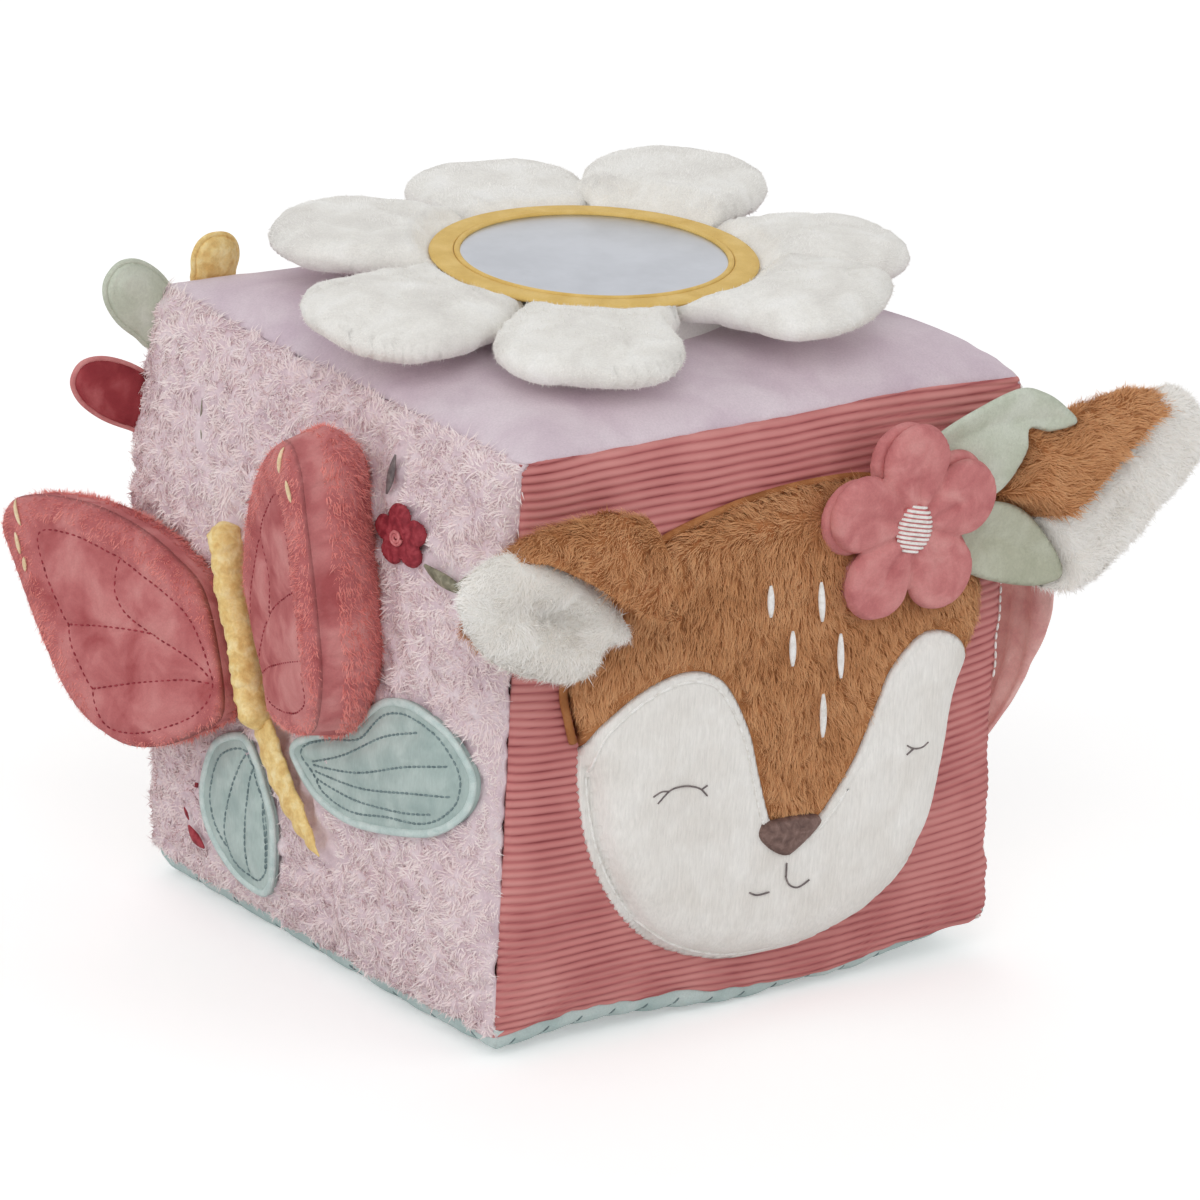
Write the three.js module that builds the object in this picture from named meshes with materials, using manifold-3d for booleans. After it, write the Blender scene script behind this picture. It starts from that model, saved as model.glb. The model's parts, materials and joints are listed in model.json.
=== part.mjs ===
// A soft fabric activity block for a baby: a stuffed cube of six sewn panels, with a daisy mirror on
// top, a butterfly on the left face, a fawn's head on the front, a loop on the right face and tabs at
// the back corner.
// Millimetres, +Z up. The origin is the middle of the flat underside. The front face looks along -Y.
import * as THREE from 'three';
import { LoftGeometry } from 'three/addons/geometries/LoftGeometry.js';
import { RoundedBoxGeometry } from 'three/addons/geometries/RoundedBoxGeometry.js';
import { mergeVertices } from 'three/addons/utils/BufferGeometryUtils.js';
import Module from 'manifold-3d';

const wasm = await Module();
wasm.setup();

// Driving dimensions

// The cube, seam to seam, the gap that touching pieces keep, and how far every cut runs past its piece
const SIDE = 150;
const FIT = 0.3;
const PANEL_WALL = 3;
const OVERRUN = 20;

// How far each panel's stuffing swells past its seams
const TOP_CROWN = 9;
const FRONT_CROWN = 5;
const LEFT_CROWN = 8;
const RIGHT_CROWN = 5;
const BACK_CROWN = 6;
const BASE_CROWN = 5;

// Filling block and rattle
const FILLING_CORNER = 5;
const RATTLE_RADIUS = 20;
const RATTLE_HEIGHT = 26;
const RATTLE_WALL = 1.6;
const BEAD_RADIUS = 3.5;
const BEAD_ORBIT = 10;

// Daisy on the top face: a pad over the panel's crown, a ring whose band goes round the mirror and whose
// lip the mirror's edge is tucked under, and padded petals
const DAISY_RADIUS = 82;
const DAISY_PAD_RISE = 7.4;
const RING_RADIUS = 41;
const RING_BAND = 5.5;
const RING_LIP = 1.4;
const MIRROR_TUCK = 2.5;
const MIRROR_THICK = 2;
const PETAL_WIDTH = 46;
const PETAL_THICK = 10;
const PETAL_OVER_PAD = 1;
const PETAL_LIFT = 2.4;

// Butterfly on the left face: where its middle is, and how high its pieces stand over the panel's crown
const BUTTERFLY_X = -18;
const BUTTERFLY_Y = 5;
const BUTTERFLY_LEAN = 22;
const BODY_WIDTH = 6.4;
const BODY_TOP = 27;
const BODY_BOTTOM = -24;
const BODY_PROUD = 11;
const TAIL_LENGTH = 33;
const TAIL_WIDTH = 7.6;
const TAIL_THICK = 3;
const TAIL_OVER = 4;
const WING_SPAN = 64;
const WING_HEIGHT = 68;
const WING_FRONT_THICK = 4;
const WING_BACK_THICK = 20;
const LEFT_WING_OVER = 9;
const LEFT_WING_ANGLE = 18;
const RIGHT_WING_OVER = 4;
const RIGHT_WING_ANGLE = 16;
const LOWER_WING_THICK = 2.2;
const RIGHT_LOWER_LENGTH = 68;
const RIGHT_LOWER_WIDTH = 35;
const RIGHT_LOWER_OUT = 4.7;
const RIGHT_LOWER_DROP = 7;
const RIGHT_LOWER_ANGLE = -8;
const LEFT_LOWER_LENGTH = 46;
const LEFT_LOWER_WIDTH = 30;
const LEFT_LOWER_OUT = -8.4;
const LEFT_LOWER_DROP = -0.5;
const LEFT_LOWER_ANGLE = -125;

// Fawn's head on the front face
const HEAD_X = 2;
const HEAD_Y = -4;
const HEAD_HALF = 62;
const HEAD_THICK = 8;
const NOSE_WIDTH = 18;
const NOSE_HEIGHT = 12;
const NOSE_THICK = 2.4;

// Ears: their layers, length, half width, depth, height over the panel's crown, and how far they curl over
const EAR_LAYER = 2.4;
const EAR_GAP = 0.9;
const LEFT_EAR_LENGTH = 54;
const LEFT_EAR_HALF = 19.5;
const LEFT_EAR_DEPTH = 9;
const LEFT_EAR_OVER = 10;
const RIGHT_EAR_LENGTH = 63;
const RIGHT_EAR_HALF = 21;
const RIGHT_EAR_DEPTH = 8;
const RIGHT_EAR_OVER = 4;

// Hair flower and leaves: the flower's lower layer is pressed into the head by the sink
const FLOWER_RADIUS = 24;
const FLOWER_BACK_RADIUS = 25.5;
const FLOWER_LAYER = 3.4;
const FLOWER_SINK = 2.4;
const FLOWER_EYE_WIDTH = 11;
const FLOWER_EYE_HEIGHT = 13;
const FLOWER_EYE_SHIFT = 1.5;
const LEAF_THICK = 2;
const LEAF_CLEARANCE = 0.9;

// Tabs at the back corner
const TAB_THICK = 5;
const TAB_SWING = 15;
const MUSTARD_TAB_LENGTH = 12;
const MUSTARD_TAB_WIDTH = 14;
const SAGE_TAB_LENGTH = 25;
const SAGE_TAB_WIDTH = 17;
const RED_TAB_LENGTH = 31;
const RED_TAB_WIDTH = 17;

// Loop on the right face
const LOOP_X = -62;
const LOOP_Y = 12;
const LOOP_WIDTH = 20;
const LOOP_THICK = 5;
const LOOP_OVER = 14;
const LOOP_HALF_SPAN = 45;
const LOOP_SWING = 10;

// Counts

const PANEL_STEPS = 12;
const ROUND_STEPS = 32;
const RING_STEPS = 48;
const HEAD_STEPS = 48;
const PETAL_STEPS = 20;
const WING_STEPS = 28;
const LEAF_STEPS = 26;
const SMALL_STEPS = 18;
const STRIP_RIBS = 9;
const STRIP_SIDES = 10;
const CORD_SIDES = 8;
const EAR_STEPS = 11;
const LOOP_STEPS = 12;
const FLOWER_LOBES = 5;
const LOBE_STEPS = 8;
const CORNER_STEPS = 2;
const BEAD_COUNT = 3;
const BEAD_TURNS = 10;
const BEAD_RINGS = 8;

// Shapes given as shares

// How squarely a panel swells, and how much of the underside is pressed flat
const CROWN_POWER = 4;
const PLUSH_POWER = 7;
const BASE_FULLNESS = 1.6;

// Nose and hair flower: their middles from the head's middle, as shares of its half size
const NOSE_PLACE_SHARES = [0.0484, -0.4355];
const FLOWER_PLACE_SHARES = [0.471, 0.8145];

// Rings of a stuffed shape, as shares of its outline and of its height
const PILLOW_SHARES = [
  [0.4, -1], [0.74, -0.9], [0.93, -0.58], [1, 0], [0.93, 0.58], [0.74, 0.9], [0.4, 1],
];
const LAYER_SHARES = [[0.76, -1], [0.95, -0.6], [1, 0], [0.95, 0.6], [0.76, 1]];
const LEAF_EDGE_SHARES = [[0.9, -1], [1, 0], [0.9, 1]];
const MOUND_SHARES = [[1, -0.5], [1, 0.3], [0.96, 0.6], [0.86, 0.85], [0.62, 0.98], [0.3, 1]];
const PATCH_SHARES = [[1, -1.5], [1, 0.55], [0.93, 0.92], [0.5, 1]];
const HALF_PILLOW_SHARES = [[1, 0], [0.985, 0.3], [0.9, 0.68], [0.72, 0.92], [0.45, 1]];

// Head and white face, as shares of the head's half size, right and up from its middle
const HEAD_SHARES = [
  [-0.98, 0.42], [-0.8, 0.76], [-0.46, 0.93], [-0.06, 0.985], [0.36, 0.97], [0.72, 0.78],
  [0.97, 0.47], [0.95, 0.12], [0.91, -0.28], [0.77, -0.73], [0.44, -0.95], [0.03, -1],
  [-0.36, -0.93], [-0.69, -0.68], [-0.88, -0.24], [-0.94, 0.12],
];
const FACE_SHARES = [
  [-0.54, 0.36], [-0.72, 0.34], [-0.86, 0.25], [-1.04, 0.1], [-1.14, -0.3], [-0.95, -0.85],
  [-0.4, -1.2], [0.4, -1.2], [1.0, -0.9], [1.14, -0.3], [1.08, 0.06], [0.92, 0.22],
  [0.82, 0.28], [0.69, 0.31], [0.58, 0.28], [0.48, 0.19], [0.41, 0.05], [0.33, -0.17],
  [0.23, -0.4], [0.1, -0.5], [-0.02, -0.4], [-0.12, -0.12], [-0.2, 0.06], [-0.32, 0.25],
];
const NOSE_SHARES = [
  [-0.5, 0.18], [-0.2, 0.45], [0.25, 0.5], [0.5, 0.3], [0.25, -0.2], [-0.05, -0.5], [-0.38, -0.3],
];

// Upper wing, as shares of its span out from the body and of its height along it
const WING_SHARES = [
  [0.04, -0.06], [0.06, 0.17], [0.16, 0.3], [0.3, 0.42], [0.5, 0.53], [0.73, 0.6], [0.92, 0.61],
  [1, 0.52], [0.97, 0.36], [0.9, 0.08], [0.8, -0.17], [0.62, -0.33], [0.42, -0.37], [0.2, -0.34],
  [0.07, -0.28],
];
const WING_MIDDLE_SHARES = [0.5, 0.1];

// Lower wings, as shares of their length and width, from the body out
const LOWER_WING_SHARES = [
  [0, 0], [0.22, 0.25], [0.45, 0.42], [0.68, 0.5], [0.88, 0.38], [1, 0], [0.95, -0.28],
  [0.75, -0.46], [0.45, -0.5], [0.2, -0.33],
];

// Ribbed strip: how much it narrows between its ribs and at its ends
const RIB_DIP_SHARE = 0.86;
const STRIP_END_SHARE = 0.5;

// Tail: bend to the side and width, as shares of its length and of its width
const TAIL_BEND_SHARES = [0.04, 0.14, 0.27, 0.4];
const TAIL_WIDTH_SHARES = [0.9, 1, 0.85, 0.35];

// Leaves, as shares of the flower's radius from the flower's middle
const UPPER_LEAF_SHARES = [
  [0.3, 0.62], [0.42, 0.84], [0.94, 1.06], [1.42, 1.19], [1.74, 1.1], [2.02, 0.91],
  [2.21, 0.68], [1.93, 0.72], [1.66, 0.7], [1.57, 0.49], [1.2, 0.1], [0.8, 0.3],
];
const LOWER_LEAF_SHARES = [
  [0.7, 0.0], [1.1, 0.02], [1.53, -0.1], [1.9, -0.46], [2.19, -0.93], [1.9, -1.02],
  [1.53, -0.95], [1.0, -0.72], [0.66, -0.4],
];

// Ears: places along their length and how wide they are there, as shares, and their lower edge's angle
const EAR_PLACE_SHARES = [0, 0.2, 0.4, 0.58, 0.73, 0.85, 0.94, 1];
const EAR_WIDTH_SHARES = [0.8, 1, 1, 0.95, 0.88, 0.71, 0.45, 0.17];
const EAR_LOWER_ANGLE = -92;

// Flower: its lobes' notches, how far each layer is turned, and the narrower top of its eye
const LOBE_NOTCH_SHARE = 0.62;
const LOBE_POWER = 0.6;
const FLOWER_TURN = 20;
const FLOWER_BACK_TURN = 26;
const EYE_TOP_SHARE = 0.8;

// Tab's outline, and the loop's width from one foot to the other
const TAB_SHARES = [
  [0, 0.32], [0.3, 0.42], [0.62, 0.5], [0.9, 0.34], [1, 0], [0.9, -0.34], [0.62, -0.5], [0.3, -0.42],
  [0, -0.32],
];
const LOOP_WIDTH_SHARES = [0.36, 0.62, 0.85, 1, 1, 1, 0.85, 0.62, 0.36];

// Petals: their angles, how far they ride up or droop as shares of the lift, and their shape
const PETAL_ANGLES = [131, 77, 33, -19, -68, -126, -173];
const PETAL_LIFT_SHARES = [0, -0.6, 0.8, 0, 0.8, -1, -0.9];
const PETAL_FLARE_SHARE = 0.16;
const PETAL_MIDDLE_SHARE = 0.55;

// Values worked out from the driving dimensions

const HALF = SIDE / 2;
const RIM = HALF - FIT / Math.SQRT2;
const MIDDLE_HEIGHT = BASE_CROWN + HALF;

// Each face: its swelling, and the directions to the right and up for someone who looks at it
const X = new THREE.Vector3(1, 0, 0);
const Y = new THREE.Vector3(0, 1, 0);
const Z = new THREE.Vector3(0, 0, 1);
const FACES = {
  top: { crown: TOP_CROWN, power: CROWN_POWER, fullness: 1, right: X, up: Y },
  front: { crown: FRONT_CROWN, power: CROWN_POWER, fullness: 1, right: X, up: Z },
  left: { crown: LEFT_CROWN, power: PLUSH_POWER, fullness: 1, right: Y.clone().negate(), up: Z },
  right: { crown: RIGHT_CROWN, power: CROWN_POWER, fullness: 1, right: Y, up: Z },
  back: { crown: BACK_CROWN, power: CROWN_POWER, fullness: 1, right: X.clone().negate(), up: Z },
  base: {
    crown: BASE_CROWN, power: CROWN_POWER, fullness: BASE_FULLNESS, right: X, up: Y.clone().negate(),
  },
};

const PAD_TOP = TOP_CROWN + DAISY_PAD_RISE;
const MIRROR_RADIUS = RING_RADIUS - RING_BAND;
const RING_OPENING = MIRROR_RADIUS - MIRROR_TUCK;
const [NOSE_X, NOSE_Y] = onHead(NOSE_PLACE_SHARES);
const [FLOWER_X, FLOWER_Y] = onHead(FLOWER_PLACE_SHARES);
const FLOWER_SEAT = FRONT_CROWN + HEAD_THICK - FLOWER_SINK;

// Ears: the root as shares of the head's half size, the bend and tip as shares of the ear's length from
// the root, and the angle to which the upper edge curls over at the root and at the tip
const EARS = {
  left: {
    rootShares: [-0.77, 0.77], bendShares: [-0.48, -0.11], tipShares: [-1, 0.09],
    length: LEFT_EAR_LENGTH, half: LEFT_EAR_HALF, depth: LEFT_EAR_DEPTH,
    height: FRONT_CROWN + LEFT_EAR_OVER,
    rootCurl: 195, tipCurl: 105, side: -1,
  },
  right: {
    rootShares: [1.02, 0.69], bendShares: [0.52, 0.02], tipShares: [1, 0.22],
    length: RIGHT_EAR_LENGTH, half: RIGHT_EAR_HALF, depth: RIGHT_EAR_DEPTH,
    height: FRONT_CROWN + RIGHT_EAR_OVER,
    rootCurl: 192, tipCurl: 125, side: 1,
  },
};

const UPPER_WINGS = [
  { name: 'left', sign: -1, root: LEFT_CROWN + LEFT_WING_OVER, lift: LEFT_WING_ANGLE },
  { name: 'right', sign: 1, root: LEFT_CROWN + RIGHT_WING_OVER, lift: RIGHT_WING_ANGLE },
];
const LOWER_WINGS = [
  {
    name: 'right', out: RIGHT_LOWER_OUT, drop: RIGHT_LOWER_DROP, angle: RIGHT_LOWER_ANGLE,
    length: RIGHT_LOWER_LENGTH, width: RIGHT_LOWER_WIDTH,
  },
  {
    name: 'left', out: LEFT_LOWER_OUT, drop: LEFT_LOWER_DROP, angle: LEFT_LOWER_ANGLE,
    length: LEFT_LOWER_LENGTH, width: LEFT_LOWER_WIDTH,
  },
];

const radians = THREE.MathUtils.degToRad;
const lerp = THREE.MathUtils.lerp;

// Materials

function cloth(color, roughness = 0.95) {
  return new THREE.MeshStandardMaterial({ color, roughness, metalness: 0 });
}

const LAVENDER = cloth(0xcebecd);
const PLUSH = cloth(0xdcc8cd);
const CORD = cloth(0xbe6969);
const AQUA = cloth(0xbed2d0);
const BLUSH = cloth(0xe9dcd8);
const CREAM = cloth(0xeeece8);
const FILLING = cloth(0xf4f2ec);
const PLASTIC = cloth(0xe8e8ea, 0.4);
const BEAD = cloth(0xc9ccd0, 0.3);
const MIRROR = new THREE.MeshStandardMaterial({ color: 0xc8ccd4, roughness: 0.05, metalness: 1 });
const GOLD = cloth(0xe1b964, 0.6);
const ROSE = cloth(0xc87373);
const ROSE_VELOUR = cloth(0xb85f63);
const SAGE = cloth(0xb6c0aa);
const WING_AQUA = cloth(0xb2c6c0);
const MUSTARD = cloth(0xdeb45f);
const FAWN = cloth(0xb2784b);
const NOSE = cloth(0x705c5a);
const DARK_RED = cloth(0x96373c);

// Tabs: where each leaves its seam, as shares of half the side, which way it points, and its seam's
// direction
const TABS = [
  {
    name: 'mustard_tab', placeShares: [0.81, 1], angle: 86, seam: X,
    length: MUSTARD_TAB_LENGTH, width: MUSTARD_TAB_WIDTH, material: MUSTARD,
  },
  {
    name: 'sage_tab', placeShares: [1, 0.88], angle: 28, seam: Y,
    length: SAGE_TAB_LENGTH, width: SAGE_TAB_WIDTH, material: SAGE,
  },
  {
    name: 'red_tab', placeShares: [1, 0.6], angle: 18, seam: Y,
    length: RED_TAB_LENGTH, width: RED_TAB_WIDTH, material: DARK_RED,
  },
];

// Shape tools

// A place on the head, given as shares of its half size from its middle
function onHead([right, up]) {
  return [HEAD_X + right * HEAD_HALF, HEAD_Y + up * HEAD_HALF];
}

// Height of a face's swelling over its seams at a place on the face
function swellAt(face, x, y) {
  const fall = (place) => 1 - Math.min(1, Math.abs(place) / RIM) ** face.power;
  return face.crown * Math.min(1, face.fullness * fall(x) * fall(y));
}

// A welded closed surface with its faces pointing outwards
function closed(geometry) {
  const bare = new THREE.BufferGeometry();
  bare.setAttribute('position', geometry.getAttribute('position'));
  bare.setIndex(geometry.index ?? [...Array(geometry.getAttribute('position').count).keys()]);
  const welded = mergeVertices(bare);
  const place = welded.getAttribute('position');
  const corner = (index) => new THREE.Vector3().fromBufferAttribute(place, index);
  const kept = [];
  let volume = 0;
  for (let i = 0; i < welded.index.count; i += 3) {
    const [a, b, c] = [0, 1, 2].map((step) => welded.index.getX(i + step));
    if (a === b || b === c || c === a) continue;
    kept.push([a, b, c]);
    volume += corner(a).dot(corner(b).cross(corner(c)));
  }
  welded.setIndex(kept.flatMap(([a, b, c]) => (volume < 0 ? [a, c, b] : [a, b, c])));
  return welded;
}

function toSolid(geometry) {
  const bare = closed(geometry);
  return new wasm.Manifold(new wasm.Mesh({
    numProp: 3,
    vertProperties: new Float32Array(bare.getAttribute('position').array),
    triVerts: new Uint32Array(bare.index.array),
  }));
}

function toGeometry(solid) {
  const mesh = solid.getMesh();
  const geometry = new THREE.BufferGeometry();
  geometry.setAttribute('position', new THREE.BufferAttribute(new Float32Array(mesh.vertProperties), 3));
  geometry.setIndex([...mesh.triVerts]);
  return geometry;
}

// One geometry with others cut out of it
function cut(geometry, ...cutters) {
  const solid = cutters.reduce((rest, cutter) => rest.subtract(toSolid(cutter)), toSolid(geometry));
  return toGeometry(solid);
}

function common(first, second) {
  return toGeometry(toSolid(first).intersect(toSolid(second)));
}

// A closed smooth outline through points, sampled evenly
function smoothOutline(points, count) {
  const places = points.map(([x, y]) => new THREE.Vector3(x, y, 0));
  const curve = new THREE.CatmullRomCurve3(places, true, 'centripetal');
  return curve.getSpacedPoints(count).slice(0, -1).map((point) => new THREE.Vector2(point.x, point.y));
}

// Places given as shares of a width and a height, from a middle
function scaled(shares, width, height, x = 0, y = 0) {
  return shares.map(([right, up]) => [x + right * width, y + up * height]);
}

// An outline moved outwards by a distance
function grown(outline, distance) {
  const sign = THREE.ShapeUtils.isClockWise(outline) ? -1 : 1;
  return outline.map((point, i) => {
    const before = outline.at(i - 1);
    const after = outline[(i + 1) % outline.length];
    const along = after.clone().sub(before).normalize();
    return new THREE.Vector2(point.x + along.y * distance * sign, point.y - along.x * distance * sign);
  });
}

function prism(outline, low, high) {
  const shape = new THREE.Shape(outline);
  return new THREE.ExtrudeGeometry(shape, { depth: high - low, bevelEnabled: false }).translate(0, 0, low);
}

// The mean of some points
function middleOf(points) {
  return points.reduce((sum, point) => sum.add(point), points[0].clone().setScalar(0))
    .divideScalar(points.length);
}

// A closed skin through rings, whose points are turned round where they wind the wrong way
function loft(rings, caps = { capStart: true, capEnd: true }) {
  const half = Math.floor(rings.length / 2);
  const widest = rings[half];
  const ahead = middleOf(rings[half + 1]).sub(middleOf(rings[half - 1]));
  const area = new THREE.Vector3();
  widest.forEach((point, i) => area.add(point.clone().cross(widest[(i + 1) % widest.length])));
  const wound = area.dot(ahead) < 0 ? rings.map((ring) => ring.slice().reverse()) : rings;
  return closed(new LoftGeometry(wound, caps));
}

// A stuffed shape: rings of its outline, drawn towards its middle as they leave its widest level
function stuffed(outline, shares, thickness, level = 0, middle = new THREE.Vector2()) {
  const rings = shares.map(([out, up]) => outline.map((point) => {
    const place = middle.clone().lerp(point, out);
    return new THREE.Vector3(place.x, place.y, level + up * thickness);
  }));
  return loft(rings);
}

// Lays a shape on a face, so that it follows the swelling
function draped(geometry, face) {
  const place = geometry.getAttribute('position');
  for (let i = 0; i < place.count; i += 1) {
    place.setZ(i, place.getZ(i) + swellAt(face, place.getX(i), place.getY(i)));
  }
  return geometry;
}

// Points round an oval
function ovalRing(count, halfWidth, halfHeight) {
  return Array.from({ length: count }, (_, i) => {
    const turn = (i / count) * 2 * Math.PI;
    return new THREE.Vector2(halfWidth * Math.cos(turn), halfHeight * Math.sin(turn));
  });
}

function lathe(profile, steps) {
  const points = profile.map(([radius, height]) => new THREE.Vector2(radius, height));
  return closed(new THREE.LatheGeometry(points, steps)).rotateX(radians(90));
}

// Places along a panel from seam to seam, closer together near the seams
const panelTicks = Array.from({ length: PANEL_STEPS + 1 }, (_, i) => (
  RIM * Math.sin((i / PANEL_STEPS - 0.5) * Math.PI)
));

// A crowned slab under a face's swelling: its top is raised, and its underside is drawn in by a share
// at a depth
function slab(face, raised, depth, innerShare) {
  const sections = panelTicks.map((y) => ({
    outer: panelTicks.map((x) => new THREE.Vector3(x, y, swellAt(face, x, y) + raised)),
    inner: panelTicks.map((x) => new THREE.Vector3(x * innerShare, y * innerShare, -depth)).reverse(),
  }));
  const first = sections[0].inner;
  const last = sections.at(-1).inner;
  const rings = [
    [...first.slice().reverse(), ...first],
    ...sections.map(({ outer, inner }) => [...outer, ...inner]),
    [...last.slice().reverse(), ...last],
  ];
  return loft(rings, {});
}

// A sewn panel, mitred against its neighbours
function panel(face) {
  return slab(face, 0, PANEL_WALL, (RIM - PANEL_WALL) / RIM);
}

// The room that a panel takes up, with the fit over it, to seat other pieces on
function seat(face) {
  return slab(face, FIT, OVERRUN, 1);
}

// Where a face's frame stands: x to the right and y up for someone who looks at the face, z out of it
function frameOf({ right, up }) {
  const out = right.clone().cross(up);
  const place = out.clone().multiplyScalar(HALF).addScaledVector(Z, MIDDLE_HEIGHT);
  return new THREE.Matrix4().makeBasis(right, up, out).setPosition(place);
}

// Seats of all six panels, in the frame of one of the faces
function seatsFrom(face) {
  const inwards = frameOf(face).invert();
  return Object.values(FACES).map((other) => (
    seat(other).applyMatrix4(inwards.clone().multiply(frameOf(other)))
  ));
}

function piece(name, geometry, material) {
  const mesh = new THREE.Mesh(geometry, material);
  mesh.name = name;
  return mesh;
}

function group(...children) {
  const made = new THREE.Group();
  made.add(...children);
  return made;
}

// The room that cutters need while a piece swings about an axis to both its limits
function swingRoom(cutters, axis, place, limit) {
  const turned = (degrees) => new THREE.Matrix4().makeTranslation(place)
    .multiply(new THREE.Matrix4().makeRotationAxis(axis, radians(degrees)))
    .multiply(new THREE.Matrix4().makeTranslation(place.clone().negate()));
  return [-limit, 0, limit].flatMap((degrees) => (
    cutters.map((cutter) => cutter.clone().applyMatrix4(turned(degrees)))
  ));
}

// Cube: filling, rattle and panels

function disc(radius, low, high) {
  return closed(new THREE.CylinderGeometry(radius, radius, high - low, ROUND_STEPS)
    .rotateX(radians(90)).translate(0, 0, (low + high) / 2));
}

function fillingPieces() {
  const size = SIDE - 2 * (PANEL_WALL + FIT);
  const caseHalf = RATTLE_HEIGHT / 2;
  const pocket = disc(RATTLE_RADIUS + FIT, -caseHalf - FIT, size / 2 + OVERRUN);
  const block = cut(new RoundedBoxGeometry(size, size, size, CORNER_STEPS, FILLING_CORNER), pocket);
  const plug = disc(RATTLE_RADIUS, caseHalf + FIT, size / 2);
  const inner = RATTLE_RADIUS - RATTLE_WALL;
  const floor = RATTLE_WALL - caseHalf;
  const cup = [
    [0, -caseHalf], [inner, -caseHalf], [RATTLE_RADIUS, floor], [RATTLE_RADIUS, -FIT / 2],
    [inner, -FIT / 2], [inner, floor], [0, floor],
  ];
  const beads = Array.from({ length: BEAD_COUNT }, (_, i) => {
    const ball = closed(new THREE.SphereGeometry(BEAD_RADIUS, BEAD_TURNS, BEAD_RINGS));
    const bead = piece(`rattle_bead_${i + 1}`, ball, BEAD);
    const place = Y.clone().multiplyScalar(BEAD_ORBIT).applyAxisAngle(Z, (i / BEAD_COUNT) * 2 * Math.PI);
    bead.position.set(place.x, place.y, floor + BEAD_RADIUS + FIT);
    return bead;
  });
  const inside = group(
    piece('filling_block', block, FILLING),
    piece('pocket_plug', plug, FILLING),
    piece('rattle_case_lower', lathe(cup, ROUND_STEPS), PLASTIC),
    piece('rattle_case_upper', lathe(cup, ROUND_STEPS).rotateX(radians(180)), PLASTIC),
    ...beads,
  );
  inside.position.z = MIDDLE_HEIGHT;
  return inside;
}

function faceGroup(face, ...children) {
  const made = group(...children);
  made.applyMatrix4(frameOf(face));
  return made;
}

// Daisy on the top face

function daisyPieces() {
  const pad = cut(lathe([
    [0, 0], [RING_RADIUS, 0], [RING_RADIUS, PAD_TOP - RING_LIP], [RING_RADIUS - RING_LIP, PAD_TOP],
    [0, PAD_TOP],
  ], RING_STEPS), seat(FACES.top));
  const mirrorBase = PAD_TOP + FIT;
  const mirrorTop = mirrorBase + MIRROR_THICK;
  const mirror = lathe([
    [0, mirrorBase], [MIRROR_RADIUS, mirrorBase], [MIRROR_RADIUS, mirrorTop], [0, mirrorTop],
  ], RING_STEPS);
  const lipBase = mirrorTop + FIT;
  const lipTop = lipBase + RING_LIP;
  const bore = MIRROR_RADIUS + FIT;
  const ring = lathe([
    [bore, mirrorBase], [RING_RADIUS, mirrorBase], [RING_RADIUS, lipBase], [RING_RADIUS - RING_LIP, lipTop],
    [RING_OPENING + RING_LIP / 2, lipTop], [RING_OPENING, lipBase], [bore, lipBase], [bore, mirrorBase],
  ], RING_STEPS);

  const rootRadius = RING_RADIUS + FIT;
  const length = DAISY_RADIUS - rootRadius;
  const outline = Array.from({ length: PETAL_STEPS }, (_, i) => {
    const turn = (i / PETAL_STEPS) * 2 * Math.PI;
    const reach = (PETAL_WIDTH / 2) * (1 - PETAL_FLARE_SHARE * Math.cos(turn));
    return new THREE.Vector2((length / 2) * (1 - Math.cos(turn)), reach * Math.sin(turn));
  });
  const petalMiddle = new THREE.Vector2(length * PETAL_MIDDLE_SHARE, 0);
  const petalShape = stuffed(outline, PILLOW_SHARES, PETAL_THICK / 2, 0, petalMiddle);
  const petals = PETAL_ANGLES.map((angle, i) => {
    const height = PAD_TOP + PETAL_OVER_PAD + PETAL_LIFT * PETAL_LIFT_SHARES[i];
    const petal = piece(`daisy_petal_${i + 1}`, petalShape.clone().translate(rootRadius, 0, height), CREAM);
    petal.rotation.z = radians(angle);
    return petal;
  });
  return [
    piece('daisy_pad', pad, CREAM),
    piece('mirror', mirror, MIRROR),
    piece('mirror_ring', ring, GOLD),
    ...petals,
  ];
}

// Butterfly on the left face

const butterflyFrame = new THREE.Matrix4()
  .makeRotationZ(radians(BUTTERFLY_LEAN)).setPosition(BUTTERFLY_X, BUTTERFLY_Y, 0);

// A gathered strip that stands on edge along the butterfly's body
function ribbedStrip() {
  const height = LEFT_CROWN + BODY_PROUD;
  const sections = Array.from({ length: 2 * STRIP_RIBS + 1 }, (_, i) => {
    const end = i === 0 || i === 2 * STRIP_RIBS ? STRIP_END_SHARE : 1;
    const swell = end * (i % 2 === 0 ? RIB_DIP_SHARE : 1);
    const y = lerp(BODY_TOP, BODY_BOTTOM, i / (2 * STRIP_RIBS));
    return ovalRing(STRIP_SIDES, (BODY_WIDTH / 2) * swell, (height / 2) * swell)
      .map((point) => new THREE.Vector3(point.x, y, height / 2 + point.y));
  });
  return loft(sections);
}

function tailShape() {
  const sections = TAIL_BEND_SHARES.map((bend, i) => {
    const y = BODY_BOTTOM - FIT - (i / (TAIL_BEND_SHARES.length - 1)) * TAIL_LENGTH;
    const share = TAIL_WIDTH_SHARES[i];
    return ovalRing(CORD_SIDES, (TAIL_WIDTH / 2) * share, (TAIL_THICK / 2) * Math.sqrt(share))
      .map((point) => new THREE.Vector3(bend * TAIL_LENGTH + point.x, y, LEFT_CROWN + TAIL_OVER + point.y));
  });
  return loft(sections);
}

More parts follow.
